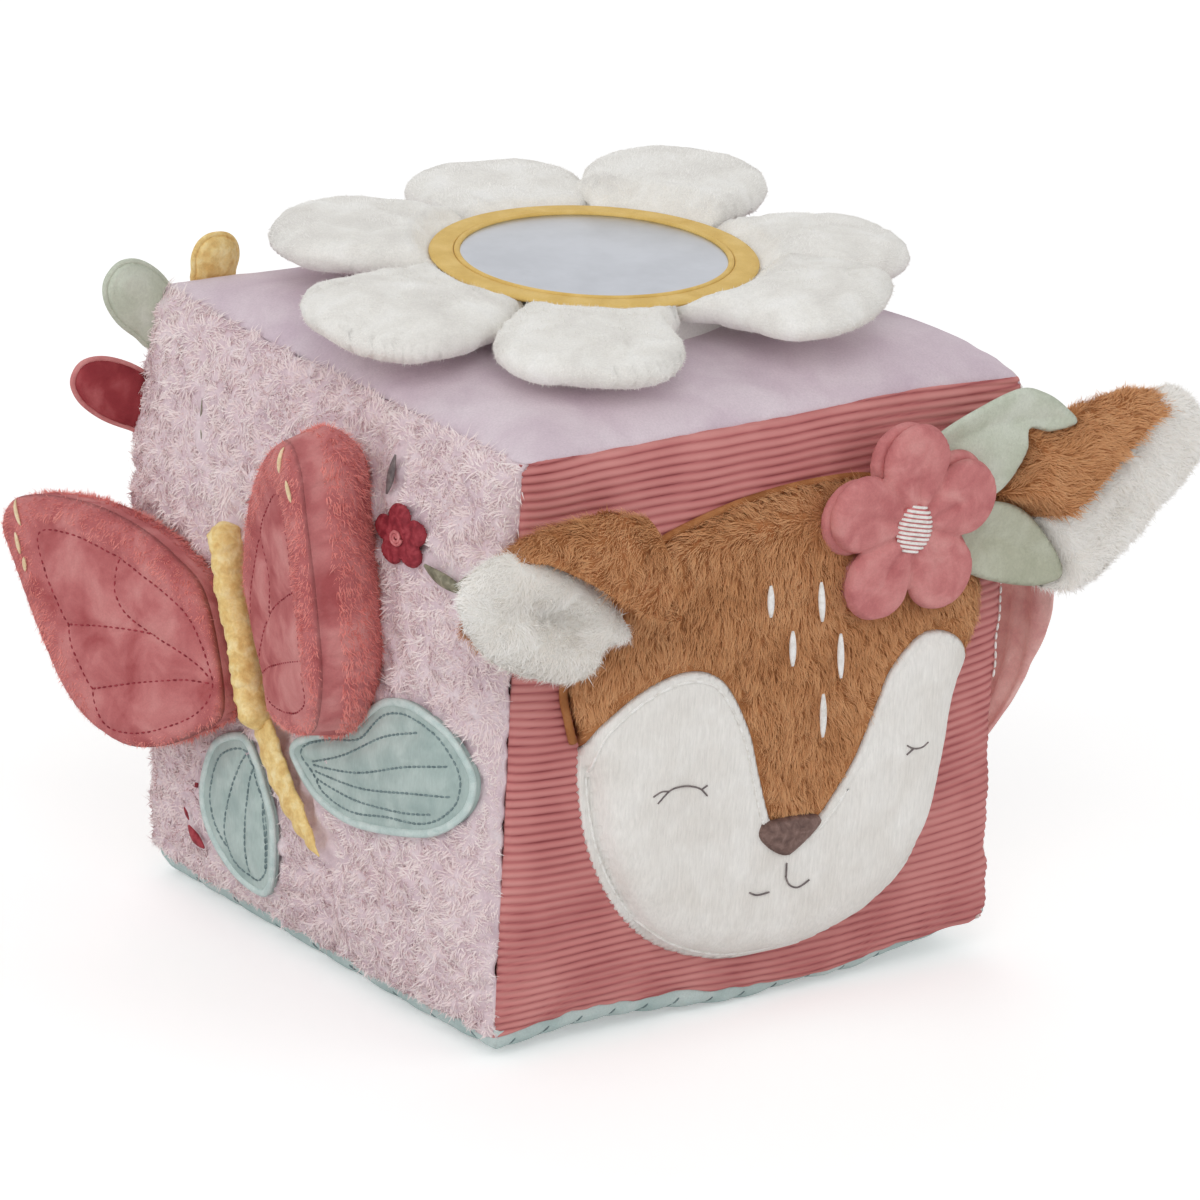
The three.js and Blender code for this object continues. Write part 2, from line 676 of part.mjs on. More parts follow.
// A lower wing, or the room it takes up with a clearance round it
function lowerWing({ out, drop, length, width, angle }, clearance = 0) {
  const outline = grown(smoothOutline(scaled(LOWER_WING_SHARES, length, width), LEAF_STEPS), clearance);
  const middle = new THREE.Vector2(length / 2, 0);
  const shape = stuffed(outline, PATCH_SHARES, LOWER_WING_THICK + clearance, 0, middle);
  shape.rotateZ(radians(angle)).translate(out, BODY_BOTTOM - drop, 0);
  return draped(shape.applyMatrix4(butterflyFrame), FACES.left);
}

function butterflyPieces() {
  const faceSeat = seat(FACES.left);
  const wingSeats = LOWER_WINGS.map((wing) => lowerWing(wing, FIT));
  const outline = smoothOutline(scaled(WING_SHARES, WING_SPAN, WING_HEIGHT), WING_STEPS);
  const [outShare, upShare] = WING_MIDDLE_SHARES;
  const middle = new THREE.Vector2(outShare * WING_SPAN, upShare * WING_HEIGHT);
  const upper = UPPER_WINGS.flatMap(({ name, sign, root, lift }) => {
    const placed = (thickness, level) => {
      const half = stuffed(outline, HALF_PILLOW_SHARES, thickness, level, middle).rotateY(radians(-lift));
      return closed(half.scale(sign, 1, 1))
        .translate(sign * (BODY_WIDTH / 2 + FIT), 0, root).applyMatrix4(butterflyFrame);
    };
    const back = cut(placed(-WING_BACK_THICK, -FIT / 2), faceSeat, ...wingSeats);
    return [
      piece(`upper_wing_${name}_front`, placed(WING_FRONT_THICK, FIT / 2), ROSE_VELOUR),
      piece(`upper_wing_${name}_back`, back, ROSE),
    ];
  });
  const lower = LOWER_WINGS.map((wing) => (
    piece(`lower_wing_${wing.name}`, cut(lowerWing(wing), faceSeat), WING_AQUA)
  ));
  return [
    piece('butterfly_body', cut(ribbedStrip().applyMatrix4(butterflyFrame), faceSeat), MUSTARD),
    piece('butterfly_tail', tailShape().applyMatrix4(butterflyFrame), MUSTARD),
    ...upper,
    ...lower,
  ];
}

// Fawn's head on the front face

// The fur back and the lining of an ear: an open shell that curls over forwards at its upper edge
function earLayers(ear) {
  const { length, half, depth, height, side } = ear;
  const root = new THREE.Vector2(...onHead(ear.rootShares));
  const reach = (shares) => root.clone().addScaledVector(new THREE.Vector2(...shares), length);
  const path = new THREE.QuadraticBezierCurve(root, reach(ear.bendShares), reach(ear.tipShares));
  const backRings = [];
  const liningRings = [];
  EAR_WIDTH_SHARES.forEach((share, i) => {
    const at = path.getPoint(EAR_PLACE_SHARES[i]);
    const along = path.getTangent(EAR_PLACE_SHARES[i]);
    const upper = lerp(ear.rootCurl, ear.tipCurl, EAR_PLACE_SHARES[i]);
    const rim = (distance) => Array.from({ length: EAR_STEPS + 1 }, (_, k) => {
      const angle = radians(lerp(EAR_LOWER_ANGLE, upper, k / EAR_STEPS));
      const across = side * (half * share + distance) * Math.sin(angle);
      const level = height - (depth * share + distance) * Math.cos(angle);
      return new THREE.Vector3(at.x - along.y * across, at.y + along.x * across, level);
    });
    const ring = (near, far) => [...rim(far), ...rim(near).reverse()];
    backRings.push(ring(0, EAR_LAYER));
    liningRings.push(ring(-EAR_GAP - EAR_LAYER * share, -EAR_GAP));
  });
  return [loft(backRings), loft(liningRings)];
}

// A flower's outline, with round lobes turned by an angle
function lobedOutline(radius, turn) {
  const count = FLOWER_LOBES * LOBE_STEPS;
  return Array.from({ length: count }, (_, i) => {
    const angle = (i / count) * 2 * Math.PI;
    const swell = Math.abs(Math.cos((FLOWER_LOBES * (angle - radians(turn))) / 2)) ** LOBE_POWER;
    const reach = radius * lerp(LOBE_NOTCH_SHARE, 1, swell);
    return new THREE.Vector2(FLOWER_X + reach * Math.cos(angle), FLOWER_Y + reach * Math.sin(angle));
  });
}

// The forehead and the white face, and the head's room with the fit over it
function headPieces(faceSeat) {
  const place = (shares) => scaled(shares, HEAD_HALF, HEAD_HALF, HEAD_X, HEAD_Y);
  const headOutline = smoothOutline(place(HEAD_SHARES), HEAD_STEPS);
  const mound = stuffed(headOutline, MOUND_SHARES, HEAD_THICK, 0, new THREE.Vector2(HEAD_X, HEAD_Y));
  const head = cut(draped(mound, FACES.front), faceSeat);
  const faceOutline = smoothOutline(place(FACE_SHARES), HEAD_STEPS);
  return {
    forehead: cut(head, prism(grown(faceOutline, FIT), -OVERRUN, 2 * OVERRUN)),
    face: common(head, prism(faceOutline, -OVERRUN, 2 * OVERRUN)),
    overHead: head.clone().translate(0, 0, FIT),
  };
}

function flowerPieces(overHead) {
  const half = FLOWER_LAYER / 2;
  const middle = new THREE.Vector2(FLOWER_X, FLOWER_Y);
  const layer = (radius, turn, level) => (
    stuffed(lobedOutline(radius, turn), LAYER_SHARES, half, level, middle)
  );
  const eyeSeat = FLOWER_SEAT + 4 * half + 2 * FIT;
  const eye = closed(new THREE.CylinderGeometry(EYE_TOP_SHARE, 1, half, SMALL_STEPS)
    .rotateX(radians(90)).scale(FLOWER_EYE_WIDTH / 2, FLOWER_EYE_HEIGHT / 2, 1)
    .translate(FLOWER_X - FLOWER_EYE_SHIFT, FLOWER_Y, eyeSeat + half / 2));
  const backLayer = layer(FLOWER_BACK_RADIUS, FLOWER_BACK_TURN, FLOWER_SEAT + half);
  const frontLayer = layer(FLOWER_RADIUS, FLOWER_TURN, FLOWER_SEAT + 3 * half + FIT);
  return [
    piece('flower_back', cut(backLayer, overHead), ROSE),
    piece('flower_front', frontLayer, ROSE_VELOUR),
    piece('flower_eye', eye, CREAM),
  ];
}

function fawnPieces() {
  const seats = seatsFrom(FACES.front);
  const { forehead, face, overHead } = headPieces(seat(FACES.front));
  const nosePlaces = scaled(NOSE_SHARES, NOSE_WIDTH, NOSE_HEIGHT, NOSE_X, NOSE_Y);
  const noseOutline = smoothOutline(nosePlaces, SMALL_STEPS);
  const noseMiddle = new THREE.Vector2(NOSE_X, NOSE_Y);
  const nose = stuffed(noseOutline, PATCH_SHARES, NOSE_THICK, FRONT_CROWN + HEAD_THICK, noseMiddle);

  const leafOutlines = [UPPER_LEAF_SHARES, LOWER_LEAF_SHARES].map((shares) => (
    smoothOutline(scaled(shares, FLOWER_RADIUS, FLOWER_RADIUS, FLOWER_X, FLOWER_Y), LEAF_STEPS)
  ));
  const leafLevel = FLOWER_SEAT - FIT - LEAF_THICK / 2;
  const [upperLeaf, lowerLeaf] = leafOutlines.map((outline) => {
    const leaf = stuffed(outline, LEAF_EDGE_SHARES, LEAF_THICK / 2, leafLevel, middleOf(outline));
    return cut(leaf, ...seats, overHead);
  });
  const nearLeaves = leafOutlines.map((outline) => prism(grown(outline, LEAF_CLEARANCE), 0, OVERRUN));
  const cutters = [overHead, ...seats];
  const earOf = (ear, ...rest) => earLayers(ear).map((layer) => cut(layer, ...cutters, ...rest));
  const [leftBack, leftLining] = earOf(EARS.left);
  const [rightBack, rightLining] = earOf(EARS.right, ...nearLeaves);
  return [
    piece('forehead', forehead, FAWN),
    piece('face_patch', face, CREAM),
    piece('nose', cut(nose, overHead), NOSE),
    piece('left_ear_back', leftBack, FAWN),
    piece('left_ear_lining', leftLining, CREAM),
    piece('right_ear_back', rightBack, FAWN),
    piece('right_ear_lining', rightLining, CREAM),
    piece('leaf_upper', upperLeaf, SAGE),
    piece('leaf_lower', lowerLeaf, SAGE),
    ...flowerPieces(overHead),
  ];
}

// Loop on the right face

function sideLoop() {
  const rise = RIGHT_CROWN + LOOP_OVER;
  const sections = Array.from({ length: LOOP_STEPS + 1 }, (_, i) => {
    const t = i / LOOP_STEPS;
    const widthShare = LOOP_WIDTH_SHARES[Math.round(t * (LOOP_WIDTH_SHARES.length - 1))];
    const slope = Math.atan2(rise * Math.PI * Math.cos(Math.PI * t), 2 * LOOP_HALF_SPAN);
    const y = LOOP_Y + (2 * t - 1) * LOOP_HALF_SPAN;
    const middle = new THREE.Vector3(LOOP_X, y, rise * Math.sin(Math.PI * t));
    const up = new THREE.Vector3(0, -Math.sin(slope), Math.cos(slope));
    return ovalRing(CORD_SIDES, (LOOP_WIDTH / 2) * widthShare, LOOP_THICK / 2)
      .map((point) => middle.clone().addScaledVector(X, point.x).addScaledVector(up, point.y));
  });
  const pivot = new THREE.Vector3(LOOP_X, 0, 0);
  return cut(loft(sections), ...swingRoom([seat(FACES.right)], Y, pivot, LOOP_SWING));
}

function tabPieces() {
  const seats = seatsFrom(FACES.back);
  return TABS.map(({ name, placeShares, angle, seam, length, width, material }) => {
    const place = new THREE.Vector3(placeShares[0] * HALF, placeShares[1] * HALF, 0);
    const outline = smoothOutline(scaled(TAB_SHARES, length, width), SMALL_STEPS);
    const shape = stuffed(outline, LAYER_SHARES, TAB_THICK / 2, 0, new THREE.Vector2(length / 2, 0));
    shape.rotateZ(radians(angle)).translate(place.x, place.y, 0);
    return piece(name, cut(shape, ...swingRoom(seats, seam, place, TAB_SWING)), material);
  });
}

// Assembly

const topPanel = piece('top_panel', panel(FACES.top), LAVENDER);
const frontPanel = piece('front_panel', panel(FACES.front), CORD);
const leftPanel = piece('left_panel', panel(FACES.left), PLUSH);
const rightPanel = piece('right_panel', panel(FACES.right), BLUSH);
const backPanel = piece('back_panel', panel(FACES.back), BLUSH);
const basePanel = piece('base_panel', panel(FACES.base), AQUA);
const block = group(
  fillingPieces(),
  faceGroup(FACES.top, topPanel, ...daisyPieces()),
  faceGroup(FACES.front, frontPanel, ...fawnPieces()),
  faceGroup(FACES.left, leftPanel, ...butterflyPieces()),
  faceGroup(FACES.right, rightPanel, piece('side_loop', sideLoop(), ROSE_VELOUR)),
  faceGroup(FACES.back, backPanel, ...tabPieces()),
  faceGroup(FACES.base, basePanel),
);

export default block;
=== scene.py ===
"""Looks of a soft fabric activity block: a stuffed cube with a daisy mirror, a butterfly and a fawn's head.

Every piece is modelled in millimetres in the frame of the face that carries it, x to the right and y up for
someone who looks at the face, z out of it. The face's matrix then puts it in its place in metres.
"""
from __future__ import annotations

import functools
import json
import logging
import math
from dataclasses import dataclass
from enum import Enum
from typing import Callable, Iterable, Sequence

import bmesh
import bpy
import numpy as np
from mathutils import Matrix, Vector, noise

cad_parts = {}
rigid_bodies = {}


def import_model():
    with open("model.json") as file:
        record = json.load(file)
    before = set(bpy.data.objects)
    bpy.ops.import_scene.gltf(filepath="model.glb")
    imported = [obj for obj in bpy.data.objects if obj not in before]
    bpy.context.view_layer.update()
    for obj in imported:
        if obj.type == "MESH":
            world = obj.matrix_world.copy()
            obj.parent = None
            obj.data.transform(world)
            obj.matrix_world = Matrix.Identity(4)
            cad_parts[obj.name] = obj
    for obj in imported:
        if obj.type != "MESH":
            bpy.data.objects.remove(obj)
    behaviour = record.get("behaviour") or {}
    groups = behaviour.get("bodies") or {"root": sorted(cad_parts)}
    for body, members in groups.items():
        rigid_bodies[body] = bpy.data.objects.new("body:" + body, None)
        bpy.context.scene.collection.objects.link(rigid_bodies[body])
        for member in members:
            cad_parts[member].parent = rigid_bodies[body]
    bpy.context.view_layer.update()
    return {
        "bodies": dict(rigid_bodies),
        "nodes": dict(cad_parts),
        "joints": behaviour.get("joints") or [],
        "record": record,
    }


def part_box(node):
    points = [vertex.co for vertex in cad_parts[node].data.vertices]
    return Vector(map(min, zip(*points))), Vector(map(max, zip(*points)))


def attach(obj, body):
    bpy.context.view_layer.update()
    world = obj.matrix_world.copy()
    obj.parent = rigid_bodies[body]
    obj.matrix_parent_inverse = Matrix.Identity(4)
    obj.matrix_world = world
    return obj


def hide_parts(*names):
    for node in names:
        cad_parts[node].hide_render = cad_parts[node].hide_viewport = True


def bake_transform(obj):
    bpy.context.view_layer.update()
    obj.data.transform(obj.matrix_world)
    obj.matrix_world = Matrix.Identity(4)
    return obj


LOG = logging.getLogger("block")
MM = 0.001
CLOTH_FRAMES = range(1, 21)
CLOTH_PRESSURE = 4.0
CELL_KEYS = (73856093, 19349663, 83492791)
SKIN_GAP = 0.2
# How flat the underside lies under the front: how much, its middle, its width and its depth
BASE_FLATS = ((0.9, 75, 30, 26), (0.7, 20, 12, 14))
BASE_ROUND = 6.5
Array = np.ndarray
Mesh = bmesh.types.BMesh
Outline = Sequence[tuple[float, float]]
Heights = Callable[[Array, Array, Array], Array]


# Frame of the cube

class Side(Enum):
    """The six faces of the cube, each with its directions to the right and up."""

    TOP = ((1, 0, 0), (0, 1, 0))
    FRONT = ((1, 0, 0), (0, 0, 1))
    LEFT = ((0, -1, 0), (0, 0, 1))
    RIGHT = ((0, 1, 0), (0, 0, 1))
    BACK = ((-1, 0, 0), (0, 0, 1))
    BASE = ((1, 0, 0), (0, -1, 0))


@dataclass(frozen=True)
class Face:
    """A face of the cube and how its panel swells over the seams."""

    side: Side
    half: float
    middle: float
    crown: float
    power: float = 4.0
    fullness: float = 1.0

    @property
    def matrix(self) -> Matrix:
        """From the face's millimetres to metres."""
        right, up = Vector(self.side.value[0]), Vector(self.side.value[1])
        out = right.cross(up)
        turn = Matrix((right, up, out)).transposed().to_4x4()
        place = Matrix.Translation(out * self.half + Vector((0, 0, self.middle)))
        return Matrix.Scale(MM, 4) @ place @ turn

    def world(self, points: Array) -> Array:
        """Points of the face, still in millimetres, in the object's frame.

        Args:
            points: one row a point.

        Returns:
            The same points in the object's frame.
        """
        matrix = np.array(self.matrix) / MM
        return points @ matrix[:3, :3].T + matrix[:3, 3]

    def swell(self, x: Array, y: Array) -> Array:
        """Height of the stuffed panel over its seams.

        Args:
            x: places to the right.
            y: places up.

        Returns:
            The heights.
        """
        across = 1 - np.clip(np.abs(x) / self.half, 0, 1) ** self.power
        along = 1 - np.clip(np.abs(y) / self.half, 0, 1) ** self.power
        level = self.crown * np.minimum(1, self.fullness * across * along)
        fade = np.clip(across * along * 2, 0, 1)
        if self.side is Side.BASE:
            flat = np.zeros_like(x)
            for share, place, wide, deep in BASE_FLATS:
                flat += share * np.exp(-(((x - place) / wide) ** 2) - ((y - self.half) / deep) ** 2)
            return self.crown * (1 - flat) * round_edge(self.half - np.maximum(np.abs(x), np.abs(y)),
                                                        BASE_ROUND)
        places = rows(x, y, 40.0 * len(self.side.name))
        return level + fade * (0.7 * ripple(places, 42) + 0.35 * ripple(places, 16))


# Points, lines and sheets

def ripple(points: Array, size: float, seed: float = 0.0) -> Array:
    """Smooth noise at some points.

    Args:
        points: one row a point.
        size: how far apart its bumps are.
        seed: moves the pattern.

    Returns:
        A value from about -1 to 1 for each point.
    """
    shifted = points / size + seed
    return np.array([noise.noise(Vector(p)) for p in shifted.tolist()])


def rows(*columns: Array | float) -> Array:
    """Puts columns side by side, one row a point. A number fills its column."""
    return np.stack(np.broadcast_arrays(*columns), 1)


def unit(vectors: Array) -> Array:
    """The same directions with a length of 1, one row each."""
    return vectors / np.maximum(np.linalg.norm(vectors, axis=1), 1e-6)[:, None]


def circle(count: int) -> Array:
    """Angles spread evenly round a circle."""
    return np.linspace(0, 2 * math.pi, count, endpoint=False)


def curve_through(points: Outline, spacing: float, closed: bool = True) -> Array:
    """A smooth line through points, sampled evenly.

    Args:
        points: the places that it goes through.
        spacing: how far apart its samples are.
        closed: whether it comes back to its start.

    Returns:
        One row a sample.
    """
    places = np.array(points, float)
    count = len(places)
    spans = range(count if closed else count - 1)
    samples = []
    for i in spans:
        pick = [(i + k) % count if closed else min(max(i + k, 0), count - 1) for k in (-1, 0, 1, 2)]
        a, b, c, d = places[pick]
        t = np.linspace(0, 1, 24, endpoint=False)[:, None]
        bent, twisted = 2 * a - 5 * b + 4 * c - d, 3 * b - a - 3 * c + d
        samples.append(0.5 * (2 * b + (c - a) * t + bent * t**2 + twisted * t**3))
    line = np.concatenate(samples + [places[:1] if closed else places[-1:]])
    steps = np.linalg.norm(np.diff(line, axis=0), axis=1)
    run = np.concatenate([[0], np.cumsum(steps)])
    wanted = max(3, round(run[-1] / spacing))
    at = np.linspace(0, run[-1], wanted, endpoint=not closed)
    return np.stack([np.interp(at, run, line[:, k]) for k in range(line.shape[1])], 1)


def distance_to(points: Array, line: Array, closed: bool = True) -> tuple[Array, Array]:
    """How far points are from a line on a face.

    Args:
        points: one row a point, of which x and y count.
        line: the line's samples.
        closed: whether the line comes back to its start.

    Returns:
        The distances, and the nearest places on the line.
    """
    flat = points[:, :2]
    starts = line if closed else line[:-1]
    ends = np.roll(line, -1, 0) if closed else line[1:]
    best = np.full(len(flat), np.inf)
    nearest = np.zeros_like(flat)
    for start, end in zip(starts[:, :2], ends[:, :2]):
        along = end - start
        share = np.clip((flat - start) @ along / max(along @ along, 1e-12), 0, 1)
        place = start + share[:, None] * along
        gap = np.linalg.norm(flat - place, axis=1)
        closer = gap < best
        best[closer] = gap[closer]
        nearest[closer] = place[closer]
    return best, nearest


def inside(points: Array, outline: Array) -> Array:
    """Whether points lie inside an outline.

    Args:
        points: one row a point, of which x and y count.
        outline: the outline's samples.

    Returns:
        True for each point inside.
    """
    x, y = points[:, 0], points[:, 1]
    result = np.zeros(len(points), bool)
    for (ax, ay), (bx, by) in zip(outline, np.roll(outline, -1, 0)):
        crosses = (ay > y) != (by > y)
        where = ax + (y - ay) * (bx - ax) / ((by - ay) if by != ay else 1e-12)
        result ^= crosses & (x < where)
    return result


def round_edge(distance: Array, radius: float) -> Array:
    """A quarter round that rises from 0 at an edge to 1.

    Args:
        distance: how far inside the edge each point is.
        radius: where the round ends.

    Returns:
        Shares of the full height.
    """
    return np.sqrt(np.clip(1 - (1 - np.clip(distance / radius, 0, 1)) ** 2, 0, 1))


def coordinates(mesh: Mesh | bpy.types.Mesh) -> Array:
    """The places of a mesh's vertices, one row each."""
    verts = mesh.verts if isinstance(mesh, Mesh) else mesh.vertices
    return np.array([v.co for v in verts], float).reshape(-1, 3)


def move_to(mesh: Mesh, places: Array) -> None:
    """Puts each vertex of a bmesh in a new place.

    Args:
        mesh: the bmesh.
        places: one row a vertex.
    """
    for vertex, place in zip(mesh.verts, places.tolist()):
        vertex.co = place


def cut_cloth(outline: Array, spacing: float) -> Mesh:
    """A flat sheet of small quads, cut to an outline.

    Args:
        outline: the outline's samples.
        spacing: the size of a quad.

    Returns:
        The sheet, whose border lies on the outline.
    """
    low, high = outline.min(0) - spacing, outline.max(0) + spacing
    counts = np.maximum(2, np.ceil((high - low) / spacing)).astype(int)
    sheet = bmesh.new()
    bmesh.ops.create_grid(sheet, x_segments=int(counts[0]), y_segments=int(counts[1]), size=0.5)
    span, middle = high - low, (high + low) / 2
    places = coordinates(sheet)
    places[:, :2] = places[:, :2] * span + middle
    move_to(sheet, places)
    sheet.faces.ensure_lookup_table()
    centres = np.array([f.calc_center_median() for f in sheet.faces])
    out = ~inside(centres, outline)
    bmesh.ops.delete(sheet, geom=[f for f, gone in zip(sheet.faces[:], out) if gone], context="FACES")
    for _ in range(2):
        ends = [f for f in sheet.faces if sum(e.is_boundary for e in f.edges) > 2]
        bmesh.ops.delete(sheet, geom=ends, context="FACES")
    bmesh.ops.delete(sheet, geom=[v for v in sheet.verts if not v.link_faces], context="VERTS")
    border = [v for v in sheet.verts if v.is_boundary]
    for _ in range(3):
        _, nearest = distance_to(np.array([v.co for v in border]), outline)
        for vertex, place in zip(border, nearest.tolist()):
            vertex.co = (*place, 0)
        near = {n for v in border for e in v.link_edges for n in [e.other_vert(v)] if not n.is_boundary}
        bmesh.ops.smooth_vert(sheet, verts=list(near), factor=0.5, use_axis_x=True, use_axis_y=True)
    return sheet


def stuff(sheet: Mesh, outline: Array, top: Heights, bottom: Heights) -> Mesh:
    """Makes a closed pad of a flat sheet, with a second sheet under it, joined at the border.

    Args:
        sheet: the flat sheet.
        outline: its outline.
        top: the upper side's height from x, y and the distance inside the outline.
        bottom: the same for the lower side. They have to agree where the distance is 0.

    Returns:
        The same bmesh.
    """
    flat = coordinates(sheet)
    gap, _ = distance_to(flat, outline)
    gap[[v.is_boundary for v in sheet.verts]] = 0
    upper = sheet.verts[:]
    copy = bmesh.ops.duplicate(sheet, geom=sheet.verts[:] + sheet.edges[:] + sheet.faces[:])
    under = [copy["vert_map"][v] for v in upper]
    bmesh.ops.reverse_faces(sheet, faces=[f for f in copy["geom"] if isinstance(f, bmesh.types.BMFace)])
    for verts, height in ((upper, top), (under, bottom)):
        for vertex, z in zip(verts, height(flat[:, 0], flat[:, 1], gap).tolist()):
            vertex.co.z = z
    seam = [v for v, edge in zip(upper, gap == 0) if edge] + [v for v, edge in zip(under, gap == 0) if edge]
    bmesh.ops.remove_doubles(sheet, verts=seam, dist=0.02)
    return sheet


def pad(outline: Array, spacing: float, top: Heights, bottom: Heights) -> Mesh:
    """A closed pad with an outline.

    Args:
        outline: the outline's samples.
        spacing: the size of its quads.
        top: the upper side's height.
        bottom: the lower side's height.

    Returns:
        The pad.
    """
    return stuff(cut_cloth(outline, spacing), outline, top, bottom)


def swell_as_cloth(shape: Mesh, held: Array, excess: float, cap: float) -> None:
    """Lets a stuffed pad swell and pucker as cloth under pressure.

    Args:
        shape: the pad, in millimetres.
        held: how firmly each vertex is held, from 0 to 1.
        excess: how much larger the cloth is than its pattern, as a share.
        cap: the furthest that a point may move.
    """
    start = coordinates(shape)
    mesh = bpy.data.meshes.new("cloth")
    shape.to_mesh(mesh)
    mesh.transform(Matrix.Scale(MM, 4))
    made = link("cloth", mesh)
    group = made.vertex_groups.new(name="held")
    for share in np.unique(held):
        group.add(np.flatnonzero(held == share).tolist(), float(share), "REPLACE")
    cloth = made.modifiers.new("cloth", "CLOTH")
    settings = cloth.settings
    settings.vertex_group_mass = group.name
    settings.shrink_min = -excess
    settings.use_pressure, settings.uniform_pressure_force = True, CLOTH_PRESSURE
    settings.effector_weights.gravity = 0.0
    cloth.point_cache.frame_start, cloth.point_cache.frame_end = CLOTH_FRAMES[0], CLOTH_FRAMES[-1]
    for frame in CLOTH_FRAMES:
        bpy.context.scene.frame_set(frame)
    result = made.evaluated_get(bpy.context.evaluated_depsgraph_get()).data
    moved = coordinates(result) / MM - start
    size = np.linalg.norm(moved, axis=1)
    LOG.info("cloth moved %.2f mm at most, %.2f on average", size.max(), size.mean())
    move_to(shape, start + moved * np.minimum(1, cap / np.maximum(size, 1e-6))[:, None])
    bpy.data.objects.remove(made)
    bpy.data.meshes.remove(mesh)
    bpy.context.scene.frame_set(CLOTH_FRAMES[0])


# Hair

@dataclass(frozen=True)
class Pile:
    """The hair of a plush or fur.

    Attributes:
        length: a hair's length.
        width: its width at the root.
        spacing: how far apart the hairs are.
        lean: how far it lies over, from 0 to 1.
        tuft: how far apart the tufts are in which hairs gather, or 0.
        gather: how strongly they gather, from 0 to 1.
        curl: how far each hair strays.
        segments: how many parts a hair has.
    """

    length: float
    width: float
    spacing: float
    lean: float = 0.5
    tuft: float = 0.0
    gather: float = 0.5
    curl: float = 0.3
    segments: int = 2


def scatter(mesh: Mesh, spacing: float, draw: np.random.RandomState) -> tuple[Array, Array]:
    """Places spread evenly over a mesh.

    Args:
        mesh: the mesh, in millimetres.
        spacing: how far apart they are.
        draw: the random numbers.

    Returns:
        The places and the directions out of the surface there.
    """
    corners, normals = [], []
    mesh.normal_update()
    for face in mesh.faces:
        verts = face.verts[:]
        for k in range(1, len(verts) - 1):
            trio = (verts[0], verts[k], verts[k + 1])
            corners.append([v.co for v in trio])
            normals.append([v.normal for v in trio])
    corners, normals = np.array(corners, float), np.array(normals, float)
    area = np.linalg.norm(np.cross(corners[:, 1] - corners[:, 0], corners[:, 2] - corners[:, 0]), axis=1) / 2
    count = int(area.sum() / spacing**2)
    pick = np.searchsorted(np.cumsum(area) / area.sum(), (np.arange(count) + draw.rand(count)) / count)
    pick = np.minimum(pick, len(area) - 1)
    share = draw.rand(count, 2)
    flip = share.sum(1) > 1
    share[flip] = 1 - share[flip]
    weights = rows(1 - share.sum(1), share[:, 0], share[:, 1])[:, :, None]
    places = (corners[pick] * weights).sum(1)
    out = (normals[pick] * weights).sum(1)
    return places, unit(out)


def set_tone(mesh: bpy.types.Mesh, values: Array) -> None:
    """Gives each vertex of a mesh its tone, from 0 for dark to 1 for light."""
    attribute = mesh.attributes.new("tone", "FLOAT", "POINT")
    attribute.data.foreach_set("value", values.astype(np.float32))


def grow(name: str, roots: Array, out: Array, lay: Array, pile: Pile, seed: int,
         matrix: Matrix, lengths: Array | None = None) -> bpy.types.Object:
    """Hair on a surface, as flat tapered blades, with a tone from 0 at the root to 1 at the tip, which paints
    shade at the roots and a highlight at the tips.

    Args:
        name: the piece's name.
        roots: where the hairs stand, in millimetres.
        out: the directions out of the surface.
        lay: the directions in which the hairs lie over.
        pile: the kind of hair.
        seed: the random numbers' seed.
        matrix: from the roots' frame to the object's.
        lengths: shares of the pile's length, one a hair.

    Returns:
        The piece.
    """
    draw = np.random.RandomState(seed)
    count = len(roots)
    size = pile.length * (0.75 + 0.5 * draw.rand(count)) * (1 if lengths is None else lengths)
    stray = draw.normal(size=(count, 3)) * pile.curl
    level = unit(lay - (lay * out).sum(1)[:, None] * out)
    pull = np.zeros_like(roots)
    tone = draw.rand(count) * 0.3
    if pile.tuft:
        strayed = np.stack([ripple(roots, pile.tuft * 2.5, k * 7.3) for k in range(3)], 1)
        cells = np.floor(roots / pile.tuft + 0.5 * strayed)
        key = (cells * CELL_KEYS).sum(1).astype(np.int64)
        _, group = np.unique(key, return_inverse=True)
        members = np.bincount(group)
        centre = np.stack([np.bincount(group, roots[:, k]) for k in range(3)], 1) / members[:, None]
        swirl = draw.normal(size=(len(members), 3))[group] * pile.length * 0.3
        pull = (centre[group] - roots) * pile.gather + swirl
        pull -= (pull * out).sum(1)[:, None] * out
        tone += (draw.rand(len(members))[group] - 0.5) * 0.25
    side = unit(np.cross(out, level + stray))
    verts, tones = [], []
    for k in range(pile.segments + 1):
        t = k / pile.segments
        reach = out * t * (1 - pile.lean * 0.75 * t) + level * pile.lean * t**1.5 + stray * t**2
        centre_line = roots - out * SKIN_GAP + size[:, None] * reach + pull * t**1.3
        width = pile.width * (1 - 0.65 * t) / 2
        # The tone rises from root to tip as painted shade at the roots and painted highlight at the tips, on
        # top of each hair's and tuft's random tone.
        value = np.clip(t * 0.75 + tone, 0, 1)
        if k < pile.segments:
            verts += [centre_line - side * width, centre_line + side * width]
            tones += [value, value]
        else:
            verts.append(centre_line)
            tones.append(value)
    per = len(verts)
    points = np.stack(verts, 1).reshape(-1, 3)
    base = np.arange(count)[:, None] * per
    quads = [(base + [2 * k + 1, 2 * k, 2 * k + 2, 2 * k + 3]) for k in range(pile.segments - 1)]
    tips = base + [per - 2, per - 3, per - 1]
    faces = [row for block in quads for row in block.tolist()] + tips.tolist()
    turned = np.array(matrix)
    mesh = bpy.data.meshes.new(name)
    mesh.from_pydata((points @ turned[:3, :3].T + turned[:3, 3]).tolist(), [], faces)
    set_tone(mesh, np.stack(tones, 1).reshape(-1))
    mesh.polygons.foreach_set("use_smooth", [True] * len(mesh.polygons))
    return link(name, mesh)


